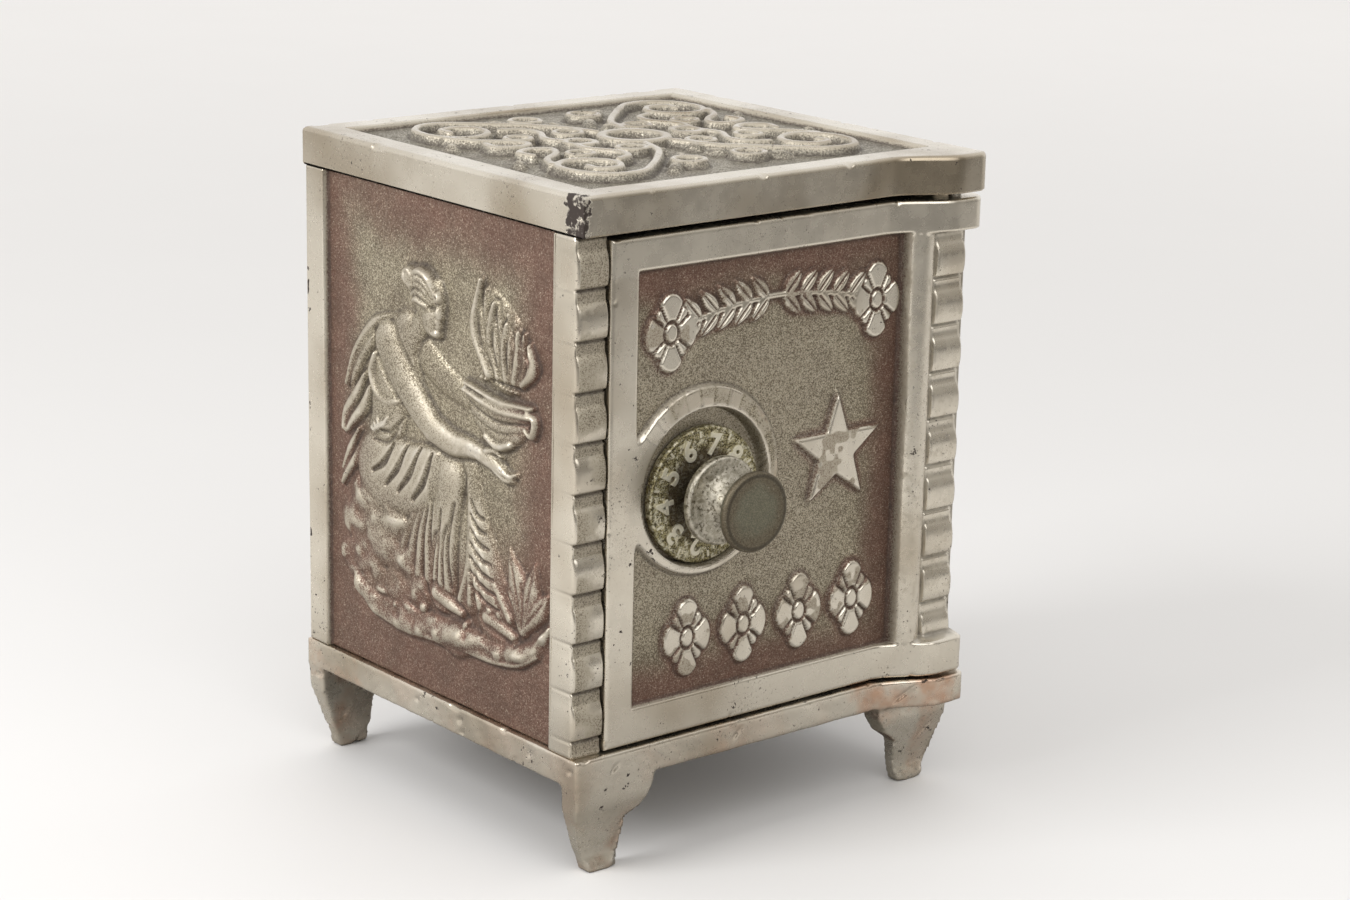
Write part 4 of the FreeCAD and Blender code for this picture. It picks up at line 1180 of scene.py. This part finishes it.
def make_dial_marks(front):
    """Ten raised numerals round the dial, with ticks between, as one mesh."""
    ground = front + 0.32
    bar = [(side, out, lift) for lift in (-0.05, 0.2) for side, out in TICK_CORNERS]
    bar_faces = [(0, 3, 2, 1), (4, 5, 6, 7), (0, 1, 5, 4), (1, 2, 6, 5), (2, 3, 7, 6), (3, 0, 4, 7)]
    points, faces = [], []
    for digit in range(10):
        angle = math.radians(150 - 36 * (digit - 5))
        glyph, glyph_faces = numeral(str(digit), 5.6)
        raised = [(-x, z + 7.5, lift) for x, z, lift in glyph]
        marks = ((raised, glyph_faces, angle), (bar, bar_faces, angle - math.radians(18)))
        for shape, shape_faces, towards in marks:
            faces += [[len(points) + v for v in face] for face in shape_faces]
            points += [on_dial(side, out, towards, ground - lift) for side, out, lift in shape]
    flat, values = [False] * len(faces), flat_values(len(points), 1.0)
    return make_object("dial_figures", points, faces, flat, values, "dial_group")


def numeral(text, size):
    """A solid numeral as points (x, z, lift) with its middle bottom at the origin, and faces."""
    letter = bpy.data.curves.new("numeral", "FONT")
    letter.body = text
    letter.size = size
    letter.align_x = "CENTER"
    letter.extrude = 0.2
    letter.bevel_depth = 0.1
    letter.bevel_resolution = 1
    letter.offset = 0.09
    letter.resolution_u = 4
    holder = link_object("numeral", letter)
    bpy.context.view_layer.update()
    mesh = evaluated_mesh(holder)
    points = [(v.co.x, v.co.y, v.co.z + letter.bevel_depth) for v in mesh.vertices]
    faces = [list(p.vertices) for p in mesh.polygons]
    bpy.data.objects.remove(holder)
    return points, faces


# Materials


class Shader:
    """Writes the node graph of a material or a world; coordinates are in millimetres."""

    def __init__(self, owner):
        self.owner = owner
        self.owner.use_nodes = True
        self.nodes = owner.node_tree.nodes
        self.links = owner.node_tree.links
        self.nodes.clear()
        self.places = self.nodes.new("ShaderNodeTexCoord").outputs
        in_metres = {0: self.places["Object"], "Scale": 1 / MM}
        self.at = self.add("ShaderNodeVectorMath", in_metres, operation="SCALE")

    def plug(self, socket, value):
        """Give an input a number, a colour or another node's output."""
        if isinstance(value, bpy.types.NodeSocket):
            self.links.new(value, socket)
        elif isinstance(value, (tuple, list)):
            socket.default_value = tuple(value) + (1.0,) * (len(socket.default_value) - len(value))
        else:
            socket.default_value = value

    def add(self, kind, inputs, output=0, **settings):
        """Add a node, plug in its inputs and return one of its outputs."""
        node = self.nodes.new(kind)
        for key, value in settings.items():
            setattr(node, key, value)
        for key, value in inputs.items():
            self.plug(node.inputs[key], value)
        if node.outputs:
            return node.outputs[output]
        return None

    def noise(self, size, detail=3.0, rough=0.55, seed=0.0):
        """Fractal noise, 0 to 1, whose lumps are about size millimetres across."""
        inputs = {"Vector": self.at, "W": seed, "Scale": 1 / size, "Detail": detail, "Roughness": rough}
        return self.add("ShaderNodeTexNoise", inputs, noise_dimensions="4D")

    def value(self, key):
        """A number stored at the mesh's points."""
        return self.add("ShaderNodeAttribute", {}, "Fac", attribute_name=key)

    def math(self, operation, a, b):
        """Two numbers joined by an operation, such as ADD."""
        return self.add("ShaderNodeMath", {0: a, 1: b}, operation=operation)

    def plus(self, a, b):
        """Their sum."""
        return self.math("ADD", a, b)

    def times(self, a, b):
        """Their product."""
        return self.math("MULTIPLY", a, b)

    def most(self, a, b):
        """The larger of the two."""
        return self.math("MAXIMUM", a, b)

    def ruffled(self, value, noise, amount):
        """A value with noise added both ways, so that a step across it gets a ragged edge."""
        return self.plus(value, self.times(self.math("SUBTRACT", noise, 0.5), amount))

    def step(self, value, low, high, start=0.0, end=1.0):
        """A soft step from start to end as value passes low to high."""
        inputs = {"Value": value, "From Min": low, "From Max": high, "To Min": start, "To Max": end}
        return self.add("ShaderNodeMapRange", inputs, interpolation_type="SMOOTHSTEP")

    def mix(self, share, a, b):
        """A colour between a and b."""
        return self.add("ShaderNodeMix", {"Factor": share, 6: a, 7: b}, 2, data_type="RGBA")

    def blend(self, share, a, b):
        """A number between a and b."""
        return self.add("ShaderNodeMix", {"Factor": share, 2: a, 3: b}, data_type="FLOAT")

    def bump(self, height, strength, distance, under=None):
        """A normal bent by a height, on top of another bump if one is given."""
        inputs = {"Height": height, "Strength": strength, "Distance": distance * MM}
        if under is not None:
            inputs["Normal"] = under
        return self.add("ShaderNodeBump", inputs)

    def facing_viewer(self, place):
        """How far a place or direction lies towards the viewer's side."""
        inputs = {0: place, 1: VIEWER_SIDE}
        return self.add("ShaderNodeVectorMath", inputs, "Value", operation="DOT_PRODUCT")

    def seen(self):
        """1 where the camera looks straight at a thing, and 0 in reflections of it."""
        return self.add("ShaderNodeLightPath", {}, "Is Camera Ray")

    def finish(self, colour, metallic, roughness, normal):
        """End a material in a surface with these looks."""
        looks = {"Base Color": colour, "Metallic": metallic, "Roughness": roughness, "Normal": normal}
        self.add("ShaderNodeOutputMaterial", {"Surface": self.add("ShaderNodeBsdfPrincipled", looks)})
        return self.owner


def new_shader(name):
    """The shader of a new material."""
    return Shader(bpy.data.materials.new(name))


NICKEL = {
    "umber": ((0.150, 0.084, 0.064), (0.138, 0.112, 0.078)),
    "olive": ((0.315, 0.218, 0.168), (0.455, 0.410, 0.305)),
    "grey": ((0.145, 0.130, 0.102), (0.40, 0.375, 0.315)),
    "silver": ((0.585, 0.54, 0.46), (0.665, 0.625, 0.545)),
    "soot": (0.088, 0.064, 0.048),
    "bare": (0.62, 0.56, 0.45),
    "half_worn": (0.46, 0.415, 0.335),
    # brown of tarnish, also used for painted shade on the cap's front
    "tarnish_and_painted_light": (0.33, 0.275, 0.20),
    "copper": (0.52, 0.315, 0.21),
    # black of pits, also used for painted shade
    "black": (0.038, 0.027, 0.022),
}


def pit_mask(s, size, share, seed):
    """Ragged black pits, gathered in patches."""
    patches = s.step(s.noise(14, 2.0, 0.5, seed + 3), 0.42, 0.68, 0.0, 0.055)
    return s.step(s.plus(s.noise(size, 4.0, 0.7, seed), patches), 0.677 - share, 0.70 - share)


def patina_colour(s, grain, polish):
    """Speckled paint and rust, browner by the panels' edges, with bare flecks and half-worn crests."""
    openness = s.ruffled(s.value("open"), s.noise(18, 3.0, 0.5, 3.0), 1.4)
    silvered = s.plus(grain, s.times(openness, 0.07))
    umber = s.mix(s.step(openness, 0.0, 0.8), *NICKEL["umber"])
    olive = s.mix(s.step(openness, 0.1, 0.9), *NICKEL["olive"])
    umber = s.mix(s.value("grey"), umber, NICKEL["grey"][0])
    olive = s.mix(s.value("grey"), olive, NICKEL["grey"][1])
    patina = s.mix(s.step(silvered, 0.40, 0.70), umber, olive)
    mottle = s.step(s.noise(5.0, 4.0, 0.6, 18.0), 0.3, 0.7, 0.0, 0.34)
    patina = s.mix(mottle, patina, NICKEL["soot"])
    patina = s.mix(s.times(s.step(silvered, 0.62, 0.74), 0.8), patina, NICKEL["bare"])
    half_worn = s.step(s.ruffled(polish, grain, 1.1), 0.12, 0.55)
    return s.mix(half_worn, patina, NICKEL["half_worn"])


def silver_colour(s):
    """Nickel plate with brown tarnish that also carries painted shade and painted light from the dull
    values, and a copper tone where the plate has gone thin.
    """
    silver = s.mix(s.noise(9, 3.0, 0.5, 5.0), *NICKEL["silver"])
    # tarnish from noise, plus the dull values' tarnish, painted shade and painted light
    tarnish_and_painted_light = s.plus(s.step(s.noise(26, 2.0, 0.5, 6.0), 0.44, 0.74, 0.0, 0.8), s.value("dull"))
    silver = s.mix(s.math("MINIMUM", s.most(tarnish_and_painted_light, 0.0), 0.9), silver, NICKEL["tarnish_and_painted_light"])
    copper = s.times(s.value("copper"), s.step(s.noise(12, 4.0, 0.6, 8.0), 0.44, 0.64))
    return s.mix(s.times(copper, 0.9), silver, NICKEL["copper"])


def nickel_material():
    """Worn nickel over cast iron: bright on the rubbed faces, brown and speckled on the panels, with
    painted shade in hollows.
    """
    s = new_shader(METAL)
    ragged = s.noise(1.6, 5.0, 0.65, 1.0)
    grain = s.noise(0.24, 2.0, 0.6, 2.0)
    polish = s.value("polish")
    bright = s.step(s.ruffled(polish, ragged, 0.6), 0.50, 0.72)
    colour = s.mix(bright, patina_colour(s, grain, polish), silver_colour(s))
    pits = s.most(pit_mask(s, 1.5, 0.0, 10.0), s.times(pit_mask(s, 0.5, 0.02, 14.0), 0.8))
    scars = s.step(s.ruffled(s.value("scar"), ragged, 1.1), 0.50, 0.60)
    pits = s.times(s.most(pits, scars), bright)
    # painted shade: the shade values darken hollows and creases towards black, beside the black pits
    dark = s.most(pits, s.times(s.value("nook"), s.step(ragged, 0.2, 0.62, 0.92, 0.55)))
    colour = s.mix(dark, colour, NICKEL["black"])
    matt = s.step(grain, 0.4, 0.7, 0.58, 0.36)
    gloss = s.step(s.noise(4.5, 4.0, 0.6, 9.0), 0.3, 0.7, 0.22, 0.32)
    roughness = s.blend(dark, s.blend(bright, matt, gloss), 0.7)
    metallic = s.blend(dark, s.blend(bright, 0.85, 0.98), 0.3)
    coarse = s.bump(grain, s.blend(bright, 0.8, 0.0), 0.14)
    hollow = s.bump(s.math("SUBTRACT", 1.0, pits), 0.7, 0.18, coarse)
    scratch = s.bump(s.noise(6.0, 2.0, 0.5, 16.0), 0.12, 0.4, hollow)
    return s.finish(colour, metallic, roughness, scratch)


def dial_material():
    """Olive brass with dark grime speckled in the ground, painted shadow of the knob's flange round the
    middle, and bright worn raised marks.
    """
    s = new_shader("dial_brass")
    ragged = s.noise(0.9, 5.0, 0.7, 1.0)
    grain = s.noise(0.3, 4.0, 0.65, 2.0)
    bright = s.step(s.ruffled(s.value("polish"), ragged, 0.9), 0.35, 0.7)
    ground = s.mix(s.step(grain, 0.42, 0.58), (0.065, 0.05, 0.022), (0.42, 0.375, 0.21))
    rubbed = s.mix(s.noise(1.4, 3.0, 0.6, 3.0), (0.66, 0.61, 0.45), (0.90, 0.87, 0.76))
    flecks = s.step(s.noise(0.8, 5.0, 0.7, 6.0), 0.50, 0.58)
    colour = s.mix(s.times(flecks, 0.85), s.mix(bright, ground, rubbed), (0.80, 0.76, 0.60))
    # painted shadow of the knob's flange, from the dial's values
    colour = s.mix(s.value("nook"), colour, (0.06, 0.04, 0.025))
    return s.finish(colour, 0.88, s.blend(bright, 0.46, 0.34), s.bump(grain, 0.8, 0.3))


def knob_material():
    """A dark grey-green matt head; the neck and flange are pitted nickel."""
    s = new_shader("knob_metal")
    head = s.value("open")
    grain = s.noise(0.25, 4.0, 0.65, 1.0)
    ragged = s.noise(1.0, 5.0, 0.65, 2.0)
    speckle = s.step(grain, 0.35, 0.68)
    slate = s.mix(speckle, (0.105, 0.101, 0.074), (0.212, 0.200, 0.142))
    tarnished = s.mix(speckle, (0.085, 0.068, 0.044), (0.18, 0.155, 0.11))
    edge = s.step(s.ruffled(s.value("polish"), s.noise(4.0, 4.0, 0.6, 9.0), 1.6), 0.1, 0.9)
    flecks = s.step(s.noise(0.5, 5.0, 0.75, 7.0), 0.58, 0.66, 0.0, 0.5)
    slate = s.mix(flecks, s.mix(edge, slate, tarnished), (0.34, 0.325, 0.26))
    steel = s.mix(s.step(ragged, 0.4, 0.62), (0.36, 0.335, 0.27), (0.60, 0.565, 0.485))
    pits = s.step(s.noise(0.7, 5.0, 0.75, 4.0), 0.53, 0.60)
    steel = s.mix(s.times(pits, 0.85), steel, (0.09, 0.072, 0.045))
    # painted shade from the knob's values, nearly black, behind the flange and round the head's rim
    colour = s.mix(s.value("nook"), s.mix(head, steel, slate), (0.03, 0.026, 0.02))
    roughness = s.blend(head, s.step(ragged, 0.3, 0.7, 0.36, 0.55), s.step(grain, 0.3, 0.7, 0.40, 0.58))
    normal = s.bump(s.noise(0.4, 5.0, 0.75, 8.0), s.blend(head, 0.25, 0.6), 0.14)
    return s.finish(colour, s.blend(head, 0.95, 0.75), roughness, normal)


def turned_material(name, light, dark, roughness):
    """Machined metal with fine grain, blotches of old oil and dull spots."""
    s = new_shader(name)
    blotch = s.noise(3.5, 5.0, 0.6, 1.0)
    grain = s.noise(0.35, 4.0, 0.6, 2.0)
    colour = s.mix(s.step(blotch, 0.36, 0.66), light, dark)
    colour = s.mix(s.step(grain, 0.62, 0.72, 0.0, 0.6), colour, tuple(0.4 * c for c in dark))
    rough = s.step(blotch, 0.3, 0.7, roughness, roughness + 0.2)
    return s.finish(colour, 0.95, rough, s.bump(grain, 0.25, 0.1))


def paint(piece, material):
    """Give a piece its material in every slot it has."""
    if piece.material_slots:
        for place in piece.material_slots:
            place.material = material
    else:
        piece.data.materials.append(material)


# Camera, light and floor


def make_floor():
    """A wide pale sheet under the bank, painted darker near the bank to even out the lamps' pool of
    light; reflections see it fade, as painted dimming, towards the viewer's side, with painted shade near
    the bank.
    """
    reach = 3.0
    mesh = bpy.data.meshes.new("floor")
    corner_signs = ((-1, -1), (1, -1), (1, 1), (-1, 1))
    mesh.from_pydata([(reach * a, reach * b, 0) for a, b in corner_signs], [], [(0, 1, 2, 3)])
    floor = link_object("floor", mesh)
    s = new_shader("floor_paper")
    distance = s.add("ShaderNodeVectorMath", {0: s.at}, "Value", operation="LENGTH")
    far = s.mix(s.noise(60, 3.0, 0.5, 1.0), (0.90, 0.893, 0.89), (0.92, 0.913, 0.91))
    # painted shade: the sheet is coloured darker near the bank so that the lamps' pool of light looks
    # even
    paper = s.mix(s.step(distance, 150, 1300, 0.42, 0.0), far, (0.30, 0.298, 0.295))
    # painted reflection: what metal sees of the floor is dimmed towards the viewer's side and shaded near
    # the bank
    fade = s.step(s.facing_viewer(s.at), 200, 375, 0.82, 0.22)
    near = s.step(distance, 60, 170, 0.55, 1.0)
    painted_reflected_floor = s.mix(s.times(fade, near), (0.0, 0.0, 0.0), (0.84, 0.82, 0.79))
    tone = s.mix(s.seen(), painted_reflected_floor, paper)
    paint(floor, s.finish(tone, 0.0, 0.65, s.bump(s.noise(0.8, 4.0), 0.05, 0.1)))


def make_world():
    """An even pale room that is dim on the viewer's side, so that metal has something to reflect."""
    s = Shader(bpy.data.worlds.new("room"))
    fade = s.step(s.facing_viewer(s.places["Generated"]), -0.1, 0.75, 1.12, 0.30)
    tint = s.mix(fade, (1.0, 0.90, 0.74), (1.0, 0.985, 0.97))
    room = s.add("ShaderNodeBackground", {"Color": tint, "Strength": s.blend(s.seen(), fade, 1.1)})
    s.add("ShaderNodeOutputWorld", {"Surface": room})
    bpy.context.scene.world = s.owner


def area_light(name, place, aim, size, power):
    """A square lamp that points at a place."""
    lamp = bpy.data.lights.new(name, "AREA")
    lamp.shape = "SQUARE"
    lamp.size = size
    lamp.energy = power
    holder = link_object(name, lamp)
    holder.location = place
    holder.rotation_euler = (Vector(aim) - Vector(place)).to_track_quat("-Z", "Y").to_euler()


def make_camera():
    """The viewpoint: in front, to the left and a little above, with a slight roll."""
    place = Vector((-373.4, -464.7 + MIDDLE, 226.9)) * MM
    aim = Vector((-4.0, -19.0 + MIDDLE, 69.2)) * MM
    roll = math.radians(1.218)
    lens = bpy.data.cameras.new("view")
    lens.lens = 84.08
    lens.sensor_width = 36.0
    lens.clip_start = 0.01
    camera = link_object("view", lens)
    turn = (aim - place).to_track_quat("-Z", "Y").to_matrix() @ Matrix.Rotation(roll, 3, "Z")
    camera.matrix_world = Matrix.Translation(place) @ turn.to_4x4()
    bpy.context.scene.camera = camera


def make_castings():
    """Every piece of nickelled cast iron."""
    pieces = make_lug() + [make_cap(), make_door(), make_base(), make_back(), make_post()]
    behind_post = POST_FRONT + STRIP
    start, front = behind_post + 0.5, RIGHT_LOW[1]
    pieces.append(make_wall("left_casting", "left_side", -1, start, behind_post + 1.0, fine=0.2))
    pieces.append(make_wall("right_casting", "right_side", 1, front, front + STRIP, fine=0.36))
    return pieces


def paint_lock():
    """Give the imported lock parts, pins and screws their steel and brass."""
    steel = turned_material("lock_steel", (0.52, 0.51, 0.49), (0.30, 0.28, 0.25), 0.28)
    bearing = turned_material("bushing_brass", (0.66, 0.50, 0.24), (0.40, 0.28, 0.12), 0.3)
    for name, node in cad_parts.items():
        is_bearing = any(word in name for word in ("bushing", "washer", "spacer"))
        paint(node, bearing if is_bearing else steel)


def main():
    """Build the pieces, their materials, the room and the camera."""
    nickel = nickel_material()
    for piece in make_castings():
        paint(piece, nickel)
    paint(make_knob(), knob_material())
    brass = dial_material()
    for piece in make_dial():
        paint(piece, brass)
    paint_lock()
    make_floor()
    make_world()
    target = (0, 0, 0.07)
    area_light("key", (-0.70, 0.12, 0.55), target, 0.35, 4.5)
    area_light("front_fill", (-0.15, -0.6, 0.6), target, 0.8, 4)
    make_camera()
    bpy.context.scene.view_settings.view_transform = "Standard"


main()
